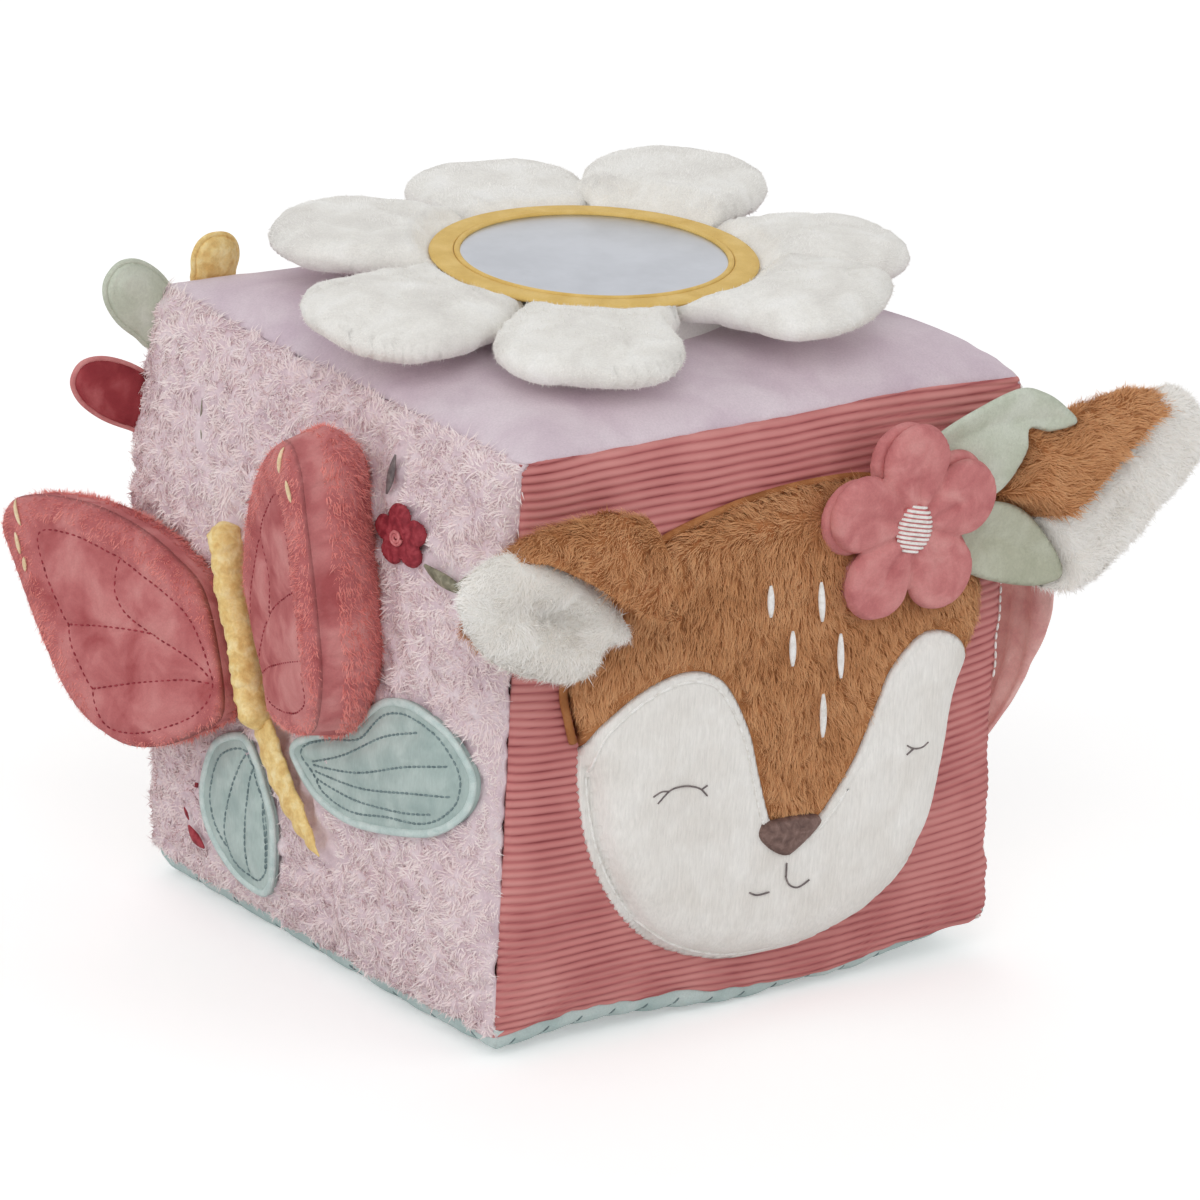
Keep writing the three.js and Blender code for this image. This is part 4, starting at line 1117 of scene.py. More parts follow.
@dataclass
class Daisy:
    """The mirror in its ring, with seven stuffed petals round it.

    Attributes:
        face: the top face.
        petal_width: a petal's greatest width.
        petal_thick: a petal's thickness in the middle.
        spacing: the size of a petal's quads.
        tuck: how far the petals reach under the ring.
        nap: the petals' short fluff.
    """

    face: Face
    petal_width: float = 49.0
    petal_thick: float = 10.0
    spacing: float = 1.5
    tuck: float = 3.0
    nap: Pile = Pile(length=0.9, width=0.2, spacing=0.56, lean=0.75, tuft=0.0, curl=0.35, segments=1)

    ANGLES = (131, 77, 33, -19, -68, -126, -173)
    TURNS = (0, 0, 1.5, 1.5, 3.5, -1, -1)
    DROOPS = (0.4, 0.2, -2.6, 0.6, -1.6, 0.8, 0.6)
    SIDE_TILTS = (0.06, 0.0, 0.0, -0.05, 0.07, 0.0, -0.06)
    WIDTH_SHARES = (1.02, 0.96, 0.96, 0.93, 0.98, 0.95, 1.0)
    LENGTHS = (82.0, 82.0, 80.5, 81.5, 78.5, 81.5, 86.0)
    BEND = (-0.5, 9.5)
    CLOTH = (0.018, 1.1)
    WIDEST = 33.0
    PETAL_SHARES = ((0.17, 0.87), (0.34, 0.95), (0.54, 1.0), (0.72, 0.95), (0.87, 0.75), (0.965, 0.43))

    def __post_init__(self) -> None:
        low, high = (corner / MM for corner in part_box("mirror_ring"))
        seam = self.face.middle + self.face.half
        self.ring_radius = high.x
        self.ring_base = low.z - seam
        self.ring_top = high.z - seam
        self.ring_under = self.ring_top - 2.2
        self.mirror_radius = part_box("mirror")[1].x / MM
        self.mirror_top = self.ring_top - 1.25

    def build(self) -> None:
        """Makes the disc, the mirror, the ring and the petals."""
        rim = self.ring_radius - self.tuck - 0.3
        disc = self.turned("daisy_disc", [(0, 2), (rim - 1, 2), (rim, 9), (rim, self.ring_base - 1.6),
                                          (rim - 1, self.ring_base - 0.3), (0, self.ring_base - 0.3)], 96)
        Piece.hand_over(disc, WHITE, "block", "white_velour", ["daisy_pad"])
        mirror = self.turned("mirror_disc", [(0, self.ring_base), (self.mirror_radius, self.ring_base),
                                             (self.mirror_radius, self.mirror_top - 0.4),
                                             (33.4, self.mirror_top), (0, self.mirror_top)], 128)
        Piece.hand_over(mirror, MIRROR, "block", "mirror", ["mirror"])
        self.build_ring()
        for number in range(len(self.ANGLES)):
            self.build_petal(number)

    def turned(self, name: str, profile: Outline, steps: int) -> bpy.types.Object:
        """A round piece about the face's middle.

        Args:
            name: the piece's name.
            profile: its radii and heights, from the axis or from its own start.
            steps: how many sides it has.

        Returns:
            The piece, without a finish.
        """
        shape = bmesh.new()
        closed = profile[0][0] > 0
        verts = [shape.verts.new((radius, 0, height)) for radius, height in profile]
        ring = verts + verts[:1] if closed else verts
        edges = [shape.edges.new(pair) for pair in zip(ring, ring[1:])]
        bmesh.ops.spin(shape, geom=verts + edges, axis=(0, 0, 1), cent=(0, 0, 0), angle=2 * math.pi,
                       steps=steps, use_merge=True)
        bmesh.ops.remove_doubles(shape, verts=shape.verts[:], dist=0.001)
        return finished(name, shape, self.face.matrix)

    def build_ring(self) -> None:
        """The flat gold binding, with a raised lip round the mirror."""
        outer, base, top = self.ring_radius, self.ring_under, self.ring_top
        lip = self.mirror_radius - 2.4
        flat = top - 0.9
        binding = [(outer - 0.6, base), (outer, base + 0.7), (outer - 0.2, flat - 0.3), (outer - 1.2, flat),
                   (lip + 2.2, flat), (lip + 1.8, flat - 0.1), (lip + 1.8, base)]
        ring = self.turned("ring_binding", binding, 160)
        Piece.hand_over(ring, GOLD, "block", "gold_trim", ["mirror_ring"])
        edge = [(lip + 0.9 + 0.8 * math.cos(a), flat - 0.25 + 0.65 * math.sin(a))
                for a in circle(10)]
        rim = self.turned("ring_lip", edge, 160)
        Piece.hand_over(rim, GOLD, "block", "gold_trim")

    def build_petal(self, number: int) -> None:
        """A stuffed petal with a seam round its edge.

        Args:
            number: which petal, from 0.
        """
        width = self.petal_width * self.WIDTH_SHARES[number]
        start = self.ring_radius - self.tuck
        length = self.LENGTHS[number] - start
        angles = [a + b for a, b in zip(self.ANGLES, self.TURNS)]
        sides = []
        for way, other in ((1, angles[number - 1]), (-1, angles[(number + 1) % len(angles)])):
            between = (other - angles[number]) * way % 360
            apart = math.radians(min(self.WIDEST, between / 2 - 0.3))
            feet = [(r * math.cos(apart) - start, way * r * math.sin(apart))
                    for r in (start, self.ring_radius + 1.5)]
            wide = [(length * share, way * width / 2 * size) for share, size in self.PETAL_SHARES]
            sides.append([(0.0, feet[0][1] * 0.5), *feet, *wide])
        outline = curve_through([(0.0, 0.0), *sides[0], (length, 0.0), *reversed(sides[1])],
                                self.spacing * 0.7)
        half = self.petal_thick / 2
        low, high = (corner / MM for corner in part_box(f"daisy_petal_{number + 1}"))
        level = (low.z + high.z) / 2 - self.face.middle - self.face.half

        def fuller(x: Array) -> Array:
            """How much sooner the petal reaches its thickness near the ring."""
            return 1 + 4 * np.exp(-x / 4)

        def under_ring(x: Array, y: Array, z: Array) -> Array:
            """Heights pressed down where the ring lies over the petal."""
            beyond = np.hypot(start + x, y) - self.ring_radius - 0.2
            return np.minimum(z, self.ring_under - 0.15 + 1.2 * np.maximum(beyond, 0) ** 0.8)

        def top(x: Array, y: Array, gap: Array) -> Array:
            """The upper side, fullest in the middle."""
            near = gap * fuller(x)
            seam = 0.5 * np.exp(-((gap - 1.9) / 0.8) ** 2) * (gap > 0)
            return under_ring(x, y,
                              level + half * (0.75 * round_edge(near, 13) + 0.25 * round_edge(near, 4))
                              - seam)

        def bottom(x: Array, y: Array, gap: Array) -> Array:
            """The lower side."""
            return under_ring(x, y, level - half * round_edge(gap * fuller(x), 12))

        petal = pad(outline, self.spacing, top, bottom)
        places = coordinates(petal)
        away = np.clip(places[:, 0] / length, 0, 1)
        places[:, 2] -= self.DROOPS[number] * away**2 - self.SIDE_TILTS[number] * places[:, 1] * away
        radial = places * [1, 1, 0]
        soft = np.clip(away * 5, 0, 1)
        places[:, 2] += soft * (0.6 * ripple(radial, 11, number * 3.1) + 0.25
                                * ripple(radial, 4, number * 5.7))
        move_to(petal, places)
        rim, _ = distance_to(places, outline)
        swell_as_cloth(petal, np.where((rim < 0.7) | (places[:, 0] < self.tuck + 2.0), 1.0, 0.0), *self.CLOTH)
        body, turn = f"petal_{number + 1}", math.radians(self.ANGLES[number] + self.TURNS[number])
        matrix = self.face.matrix @ Matrix.Rotation(turn, 4, "Z") @ Matrix.Translation((start, 0, 0))
        roots, out = scatter(petal, self.nap.spacing, np.random.RandomState(60 + number))
        bend = [matrix @ Vector((self.tuck + reach, 0, level)) for reach in self.BEND]
        Piece.make(f"{body}_pad", petal, matrix, WHITE, body, "white_velour", [f"daisy_petal_{number + 1}"],
                   bend, fill=0.8)
        lay = rows(0.6 + ripple(roots, 9, 1), ripple(roots, 9, 4), 0)
        Piece.hand_over(grow(f"{body}_nap", roots, out, lay, self.nap, 70 + number, matrix), WHITE_NAP,
                        body, "white_velour", (), bend)


# Threads and cords

@dataclass(frozen=True)
class Stitch:
    """A thread laid along a line, in stitches or as one cord.

    Attributes:
        thread: the thread's half thickness.
        length: a stitch's length, or 0 for an unbroken thread.
        gap: the cloth between two stitches.
    """

    thread: float = 0.28
    length: float = 1.7
    gap: float = 0.7

    def sew(self, name: str, lines: Sequence[Array], matrix: Matrix, finish: Finish, body: str, slot: str,
            bend: Sequence[Vector] = ()) -> None:
        """Sews along lines.

        Args:
            name: the piece's name.
            lines: the lines' points, in millimetres.
            matrix: from their frame to the object's.
            finish: the thread's finish.
            body: the body that the piece rides on.
            slot: the record's material slot.
            bend: where the piece starts and ends to bend from the block to its body.
        """
        shape = bmesh.new()
        for line in lines:
            run = np.concatenate([[0], np.cumsum(np.linalg.norm(np.diff(line, axis=0), axis=1))])
            if self.length == 0:
                tube(shape, line, np.full(len(line), self.thread), 6)
                continue
            count = max(1, round(run[-1] / (self.length + self.gap)))
            for i in range(count):
                at = (i + 0.5) / count * run[-1] + np.linspace(-0.5, 0.5, 5) * self.length
                points = np.stack([np.interp(at, run, line[:, k]) for k in range(3)], 1)
                tube(shape, points, self.thread * np.array([0.45, 0.95, 1, 0.95, 0.45]), 6)
        Piece.make(name, shape, matrix, finish, body, slot, (), bend)


def tube(shape: Mesh, line: Array, radii: Array, sides: int, closed: bool = False,
         flat: float = 1.0) -> None:
    """Adds a closed tube along a line to a bmesh.

    Args:
        shape: the bmesh.
        line: the points that it follows.
        radii: its radius at each point.
        sides: how many sides it has.
        closed: whether its end joins its start.
        flat: its thickness as a share of its width.
    """
    along = unit(np.roll(line, -1, 0) - np.roll(line, 1, 0) if closed else np.gradient(line, axis=0))
    across = np.cross(along, [0, 0, 1.0])
    weak = np.linalg.norm(across, axis=1) < 0.1
    across[weak] = np.cross(along[weak], [1.0, 0, 0])
    across = unit(across)
    lift = np.cross(across, along)
    rings = [[shape.verts.new(place + radius * (math.cos(t) * a + flat * math.sin(t) * b))
              for t in circle(sides)] for place, a, b, radius in zip(line, across, lift, radii)]
    pairs = list(zip(rings, rings[1:])) + ([(rings[-1], rings[0])] if closed else [])
    for first, second in pairs:
        for k in range(sides):
            shape.faces.new((first[k], first[(k + 1) % sides], second[(k + 1) % sides], second[k]))
    if not closed:
        shape.faces.new(rings[0][::-1])
        shape.faces.new(rings[-1])


def laid(line: Array, level: Callable[[Array, Array], Array], over: float = 0.0) -> Array:
    """Puts a flat line on a surface.

    Args:
        line: its x and y.
        level: the surface's height from x and y.
        over: how far it lies over the surface.

    Returns:
        Its x, y and z.
    """
    return rows(line[:, 0], line[:, 1], level(line[:, 0], line[:, 1]) + over)


# Fawn, ears and hair flower

@dataclass
class Fawn:
    """The fawn's head on the front face: fur, a white face, ears, a flower and leaves.

    Attributes:
        face: the front face.
        rise: how far the stuffed head stands over the corduroy.
        shoulder: how far from its edge the head reaches that height.
        patch_rise: how thick the white face is.
    """

    face: Face
    rise: float = 7.0
    shoulder: float = 11.0
    patch_rise: float = 1.3

    HEAD = ((-60.5, 21), (-52, 40), (-38, 49.5), (-25.5, 53.5), (-8, 56.5), (12, 57.6), (30, 55.5),
            (47, 45), (61, 30), (64, 18), (61, 7), (56, -6), (53.5, -21), (48.5, -40), (34, -56), (18, -62),
            (4, -63), (-12, -61.5), (-30, -54), (-41, -42), (-49, -26), (-53.5, -8), (-58.5, 8))
    MASK = ((-31.6, 18.4), (-41.0, 16.6), (-50.2, 11.5), (-55.6, 4.5), (-56.4, -7.8), (-52.6, -26.3),
            (-43.6, -43.5), (-30.5, -55.8), (-11.9, -63.6), (4.2, -65.2), (18.8, -64.4), (34.4, -59),
            (46.6, -50.2), (52.2, -38.7), (56, -20.5), (58.3, -6.1), (58.6, 5.2), (52.8, 12.6), (45, 15.6),
            (38.9, 14), (31.9, 7.7), (27.8, -0.7), (22.0, -13.5), (16.4, -21.6), (11, -27.6), (4, -31),
            (-2.2, -26.6), (-7, -13.4), (-11.1, -1.0), (-17.6, 11.0), (-23.5, 16.4))
    NOSE = ((-6.8, -26.9), (-4.6, -25.3), (2.5, -25.1), (9.6, -25.7), (11.9, -27.4), (9.4, -30.6),
            (4.6, -34.2), (1.6, -35.3), (-2.8, -33.1), (-6.4, -29.6))
    SPOTS = (((-8.8, 37.3), (-8.4, 29.2)), ((6.5, 35.7), (7.3, 25.5)), ((-1.5, 24.5), (-1.2, 15.5)),
             ((13.1, 21.4), (13.9, 9.8)), ((8.6, 6.6), (9.4, -4.8)))
    MOUTH = (((2.4, -37.4), (2.6, -41)), ((-8.4, -43.2), (-5.8, -44.4), (-2.2, -44.3)),
             ((2.4, -40.8), (3.8, -43.4), (6.6, -44.6), (9.8, -43.2)))
    EYES = (((-36.8, -12.6), (-34.4, -11.0), (-30.4, -10.9), (-26.4, -12.2), (-23.8, -14.6)),
            ((-36.8, -12.6), (-38.4, -14.2)), ((-35.6, -11.4), (-37.6, -11.2), (-39.8, -12.2)),
            ((-25.6, -12.6), (-24, -11.9)), ((37.6, -12.8), (39.8, -14), (42.4, -14.2), (44.4, -13.2)),
            ((39.8, -14), (37.6, -15.2)))

    def __post_init__(self) -> None:
        self.head = curve_through(self.HEAD, 1.2)
        self.mask = curve_through(self.MASK, 1.0)
        self.ears = (Ear("left", self.face, (-44, 43.0), (-70, 37.5), (-97.5, 45.5), 20.5, 9.5, 14.5, -1,
                         (200, 100), -96.0, ((-102.7, 49), (-100, 55), (-93.3, 59.0), (-84.5, 58.6),
                                             (-75.0, 55.1), (-66.4, 49.8), (-58.6, 42.2), (-52.4, 34.6),
                                             (-51.5, 31.6), (-59.3, 30.4), (-62.0, 25.7), (-69.3, 23.6),
                                             (-79.7, 26.4), (-90.3, 31.4), (-98.6, 39.8)),
                         (-71.5, 39.0, -24.0, 12.0, 7.0), 0.0),
                     Ear("right", self.face, (64.5, 38.5), (97.5, 42.0), (126.0, 53.5), 21.5, 8.0, 9.0, 1,
                         (195, 122), -92.0, ((71, 35), (79.6, 40.2), (88, 43.6), (95.5, 47.5), (100, 51.3),
                                             (103.4, 55.4), (107.1, 60.6), (110.6, 65.4), (115.5, 67.3),
                                             (120.8, 65.6), (125.3, 61.8), (127.8, 56.7), (128, 50.6),
                                             (125.6, 44.9), (119.9, 39.8), (113, 33.8), (107.4, 28.6),
                                             (100.4, 23.7), (94.7, 19.7), (87.4, 18.4), (79, 21), (73, 26)),
                         (100.0, 38.0, 40.0, 16.0, 2.5), 0.04),)

    def mound(self, x: Array, y: Array) -> Array:
        """The stuffed head's height, from x and y."""
        places = rows(x, y)
        gap, _ = distance_to(places, self.head)
        gap *= inside(places, self.head)
        return self.face.swell(x, y) + self.rise * round_edge(gap, self.shoulder) ** 0.9

    def patch_level(self, x: Array, y: Array) -> Array:
        """The height of the white face without its stitches."""
        return self.mound(x, y) + self.patch_rise

    def face_level(self, x: Array, y: Array) -> Array:
        """The white face's height, with the sunken line of stitches inside its edge."""
        places = rows(x, y)
        gap, _ = distance_to(places, self.mask)
        groove = 0.55 * np.exp(-((gap - 2.6) / 0.7) ** 2)
        ruffle = 0.25 * ripple(rows(x * 2.2, y * 0.5, 0), 9, 2)
        over = self.patch_rise * round_edge(gap, 1.8) - groove + ruffle * np.clip(gap / 3, 0, 1)
        return self.mound(x, y) + over

    def build(self) -> None:
        """Makes the head and everything on it."""
        matrix = self.face.matrix
        self.build_fur()
        mask = pad(self.mask, 1.0, lambda x, y, gap: np.where(gap > 0, self.face_level(x, y),
                                                              self.mound(x, y) + 0.1),
                   lambda x, y, gap: self.mound(x, y) + 0.1)
        Piece.make("face_cover", mask, matrix, FACE, "block", "white_velour", ["face_patch"], fill=0.6)
        self.build_features()
        for ear in self.ears:
            ear.build()

    def build_fur(self) -> None:
        """The furry forehead, under and round the white face."""
        matrix = self.face.matrix
        skin = pad(self.head, 1.6,
                   lambda x, y, gap: np.where(gap > 0, self.mound(x, y), self.face.swell(x, y) + 0.4),
                   lambda x, y, gap: self.face.swell(x, y) + 0.4)
        hairy = skin.copy()
        Piece.make("forehead_skin", skin, matrix, FUR_SKIN, "block", "fawn_brown", ["forehead"], fill=0.7)
        pile = Pile(length=2.9, width=0.24, spacing=0.42, lean=0.88, tuft=2.4, gather=0.15, curl=0.16,
                    segments=2)
        roots, out = scatter(hairy, pile.spacing, np.random.RandomState(21))
        hairy.free()
        gap, _ = distance_to(roots, self.mask)
        bare = inside(roots, self.mask)
        nose, _ = distance_to(roots, np.array([(0.0, -29.0), (9.0, -30.5)]), False)
        keep = ~bare & (gap > 0.5) & (out[:, 2] > -0.2) & (nose > 4.5)
        roots, out, gap = roots[keep], out[keep], gap[keep]
        x, y = roots[:, 0], roots[:, 1]
        lay = rows(0.35 * np.sin((x - 4) / 22) + 0.35 * ripple(roots, 13, 4), -1 + 0.4 * ripple(roots, 11, 6),
                   0)
        upper = np.clip((y - 44) / 10, 0, 1)[:, None]
        lay = lay * (1 - upper) + upper * rows(-0.5 + 0.02 * x, 0.5, 0)
        length = np.clip(0.3 + gap / 8, 0.3, 1)
        Piece.hand_over(grow("forehead_fur", roots, out, lay, pile, 22, matrix, length), FUR, "block",
                        "fawn_brown")
        seen = (self.head[:, 1] > 2) & ((self.head[:, 0] < 20) | (self.head[:, 1] > 20))
        first = int(np.argmax(seen & ~np.roll(seen, 1)))
        edge = np.roll(self.head, -first, 0)[np.roll(seen, -first)]
        edge[:, 0] -= 1.6 * np.clip((24 - edge[:, 1]) / 12, 0, 1) * (edge[:, 0] < 0)
        shape = bmesh.new()
        tube(shape, laid(edge, self.face.swell, 1.2), np.full(len(edge), 1.1), 8)
        Piece.make("head_piping", shape, matrix, PIPING, "block", "fawn_brown")

    def build_features(self) -> None:
        """The stitched nose, mouth, eyes and spots."""
        matrix = self.face.matrix
        outline = curve_through(self.NOSE, 0.6)
        nose = pad(outline, 0.6,
                   lambda x, y, gap: self.patch_level(x, y) + 2.3 * round_edge(gap, 4.5) - 0.4 * (gap == 0),
                   lambda x, y, gap: self.patch_level(x, y) - 0.4)
        Piece.make("nose_pad", nose, matrix, THREADS["brown"], "block", "nose", ["nose"])
        for name, size, curves in (("mouth_thread", 0.24, self.MOUTH), ("eye_thread", 0.22, self.EYES)):
            lines = [laid(curve_through(points, 0.5, False), self.patch_level, 0.15) for points in curves]
            Stitch(size, 0).sew(name, lines, matrix, THREADS["grey"], "block", "nose")
        ahead = np.roll(self.mask, -1, 0) - np.roll(self.mask, 1, 0)
        inner = self.mask + unit(rows(-ahead[:, 1], ahead[:, 0])) * 2.4
        inner = np.roll(inner, -int(np.argmin(np.hypot(inner[:, 0] - 6, inner[:, 1] + 30))), 0)
        inner = inner[inner[:, 0] < 20]
        Stitch(0.42, 0).sew("mask_cord", [laid(inner, self.face_level, 0.1)], matrix, THREADS["white"],
                            "block", "white_velour")
        shape = bmesh.new()
        for (ax, ay), (bx, by) in self.SPOTS:
            t = np.linspace(0, 1, 9)
            line = rows(ax + (bx - ax) * t, ay + (by - ay) * t)
            tube(shape, laid(line, self.mound, 3.0), 1.05 * np.sin(math.pi * (0.06 + 0.88 * t)) ** 0.6, 8,
                 flat=0.6)
        Piece.make("forehead_spots", shape, matrix, THREADS["white"], "block", "white_velour")


@dataclass
class Ear:
    """An ear: a furry back that curls forwards over a white lining.

    Attributes:
        name: left or right.
        face: the front face.
        root: where it leaves the head.
        bend: the point that its middle line bends towards.
        tip: its tip.
        half: half its width.
        depth: how deep its hollow is.
        height: how far its edges stand over the face's seams.
        side: 1 where it points to the right, or -1.
        curl: how far its upper edge curls over, in degrees, at its root and at its tip.
        lower: the angle of its lower edge.
        lining: the outline of its white lining.
        hollow: the middle of the lining's hollow, its direction in degrees, its length and its depth.
        pinch: how much narrower its upper half is at its root, as a share.
        puff: how far the lining is stuffed.
        brown: the back's fur.
        white: the lining's fur.
    """

    name: str
    face: Face
    root: tuple[float, float]
    bend: tuple[float, float]
    tip: tuple[float, float]
    half: float
    depth: float
    height: float
    side: int
    curl: tuple[float, float]
    lower: float
    lining: Outline
    hollow: tuple[float, float, float, float, float]
    pinch: float
    puff: float = 4.6
    brown: Pile = Pile(length=2.6, width=0.24, spacing=0.44, lean=0.85, tuft=2.6, gather=0.2, curl=0.25,
                       segments=2)
    white: Pile = Pile(length=1.9, width=0.24, spacing=0.42, lean=0.88, tuft=3.0, gather=0.25, curl=0.4,
                       segments=2)

    WIDTHS = ((0.0, 0.8), (0.2, 1.0), (0.4, 1.0), (0.58, 0.95), (0.73, 0.88), (0.85, 0.71), (0.94, 0.45),
              (1.0, 0.17))
    BEND = (-2.0, 14.0)
    CLEARANCE = 0.8

    def shell(self, steps: tuple[int, int], distance: float, span: tuple[float, float]) -> Mesh:
        """An open sheet that follows the ear.

        Args:
            steps: how many quads it has along and across.
            distance: how far outside the middle surface it lies.
            span: the shares of the way from the lower to the upper edge that it covers.

        Returns:
            The sheet, in the face's frame.
        """
        sheet = bmesh.new()
        bmesh.ops.create_grid(sheet, x_segments=steps[0], y_segments=steps[1], size=0.5)
        flat = coordinates(sheet)
        t = np.clip(flat[:, 0] + 0.5, 0, 1)
        s = span[0] + (flat[:, 1] + 0.5) * (span[1] - span[0])
        a, b, c = (np.array(p) for p in (self.root, self.bend, self.tip))
        at = (1 - t)[:, None] ** 2 * a + 2 * (t * (1 - t))[:, None] * b + t[:, None] ** 2 * c
        along = 2 * (1 - t)[:, None] * (b - a) + 2 * t[:, None] * (c - b)
        along = unit(along)
        places, widths = zip(*self.WIDTHS)
        wide = np.interp(t, places, widths)
        upper = self.curl[0] + (self.curl[1] - self.curl[0]) * t
        angle = np.radians(self.lower + (upper - self.lower) * s)
        wave = 0.8 * ripple(rows(t * 50, s * 40, 0), 17, self.side * 3.0)
        across = self.side * (self.half * wide + distance + wave) * np.sin(angle)
        across *= 1 - self.pinch * (across * self.side > 0) * np.exp(-(((t - 0.28) / 0.24) ** 2))
        level = self.height - (self.depth * wide + distance + wave * 0.5) * np.cos(angle)
        half = self.face.half
        cloth = self.face.swell(np.clip(at[:, 0], 1 - half, half - 1), at[:, 1]) * (np.abs(at[:, 0]) < half)
        level = np.maximum(level, cloth + self.CLEARANCE)
        move_to(sheet,
                self.pressed(rows(at[:, 0] - along[:, 1] * across, at[:, 1] + along[:, 0] * across, level)))
        return sheet

    def pressed(self, places: Array) -> Array:
        """Points of the right ear pressed down under the leaves; others as they are."""
        for leaf in (HairFlower.UPPER_LEAF, HairFlower.LOWER_LEAF) if self.side > 0 else ():
            outline = curve_through(leaf, 1.5)
            gap, _ = distance_to(places, outline)
            gap[inside(places, outline)] = 0
            places[:, 2] = np.minimum(places[:, 2], HairFlower.LEAF_LEVEL - 3.4 + 2.0 * gap)
        return places

    def cushion(self) -> Mesh:
        """The stuffed white lining, with its soft hollow."""
        outline = curve_through(self.lining, 1.2)
        rim = self.height + 0.8
        x0, y0, turn, long, deep = self.hollow
        turn = math.radians(turn)

        def top(x: Array, y: Array, gap: Array) -> Array:
            """Its front."""
            along = (x - x0) * math.cos(turn) + (y - y0) * math.sin(turn)
            across = (y - y0) * math.cos(turn) - (x - x0) * math.sin(turn)
            hollow = deep * np.exp(-(along / long) ** 2 - (across / 4.2) ** 2)
            soft = 0.7 * ripple(rows(x, y, 0), 8, 3.0)
            return rim + (self.puff + soft - hollow) * round_edge(gap, 8)

        sheet = pad(outline, 1.2, top, lambda x, y, gap: rim - 4.0 * round_edge(gap, 7))
        move_to(sheet, self.pressed(coordinates(sheet)))
        return sheet

    def build(self) -> None:
        """Makes the ear's back and lining, and their hair."""
        back = self.shell((56, 64), 2.0, (0.29, 1.0))
        inner = self.shell((56, 64), 0.3, (0.29, 1.0))
        outwards = coordinates(back) - coordinates(inner)
        back.normal_update()
        if (np.array([v.normal for v in back.verts]) * outwards).sum() < 0:
            bmesh.ops.reverse_faces(back, faces=back.faces[:])
        places, out = scatter(back, self.brown.spacing, np.random.RandomState(31 + self.side))
        mesh = bpy.data.meshes.new("ear_layer")
        inner.to_mesh(mesh)
        inner.free()
        back.from_mesh(mesh)
        bpy.data.meshes.remove(mesh)
        bmesh.ops.bridge_loops(back, edges=[edge for edge in back.edges if edge.is_boundary])
        self.dress("back", back, places, out, (FUR_SKIN, FUR, "fawn_brown"), self.brown)
        lining = self.cushion()
        places, out = scatter(lining, self.white.spacing, np.random.RandomState(33 + self.side))
        seen = out[:, 2] > -0.5
        self.dress("lining", lining, places[seen], out[seen], (WHITE, CREAM_PILE, "white_velour"), self.white)

    def dress(self, part: str, sheet: Mesh, roots: Array, out: Array,
              look: tuple[Finish, Hair, str], pile: Pile) -> None:
        """Hands over a skin of the ear and its hair.

        Args:
            part: back or lining.
            sheet: the skin, which is used up.
            roots: where the hairs stand.
            out: the directions out of the skin there.
            look: the skin's finish, the hair's finish and the material slot.
            pile: the kind of hair.
        """
        body, prefix = f"ear_{self.name}", f"{self.name}_ear"
        Piece.make(f"{prefix}_{part}_skin", sheet, self.face.matrix, look[0], body, look[2],
                   [f"{prefix}_{part}"], self.bend_points())
        tipwards = np.array([self.tip[0] - self.root[0], self.tip[1] - self.root[1], 0.0])
        lay = np.tile(tipwards / np.linalg.norm(tipwards), (len(roots), 1)) * 0.6
        lay += rows(ripple(roots, 9, 1), ripple(roots, 9, 5) - 0.4, ripple(roots, 9, 8)) * 0.9
        made = grow(f"{prefix}_{part}_hair", roots, out, lay, pile, 38 + self.side, self.face.matrix)
        Piece.hand_over(made, look[1], body, look[2], (), self.bend_points())

    def bend_points(self) -> list[Vector]:
        """Where the ear starts and ends to bend away from the head."""
        return [self.face.matrix @ Vector((self.root[0] + self.side * reach, self.root[1], self.height))
                for reach in self.BEND]


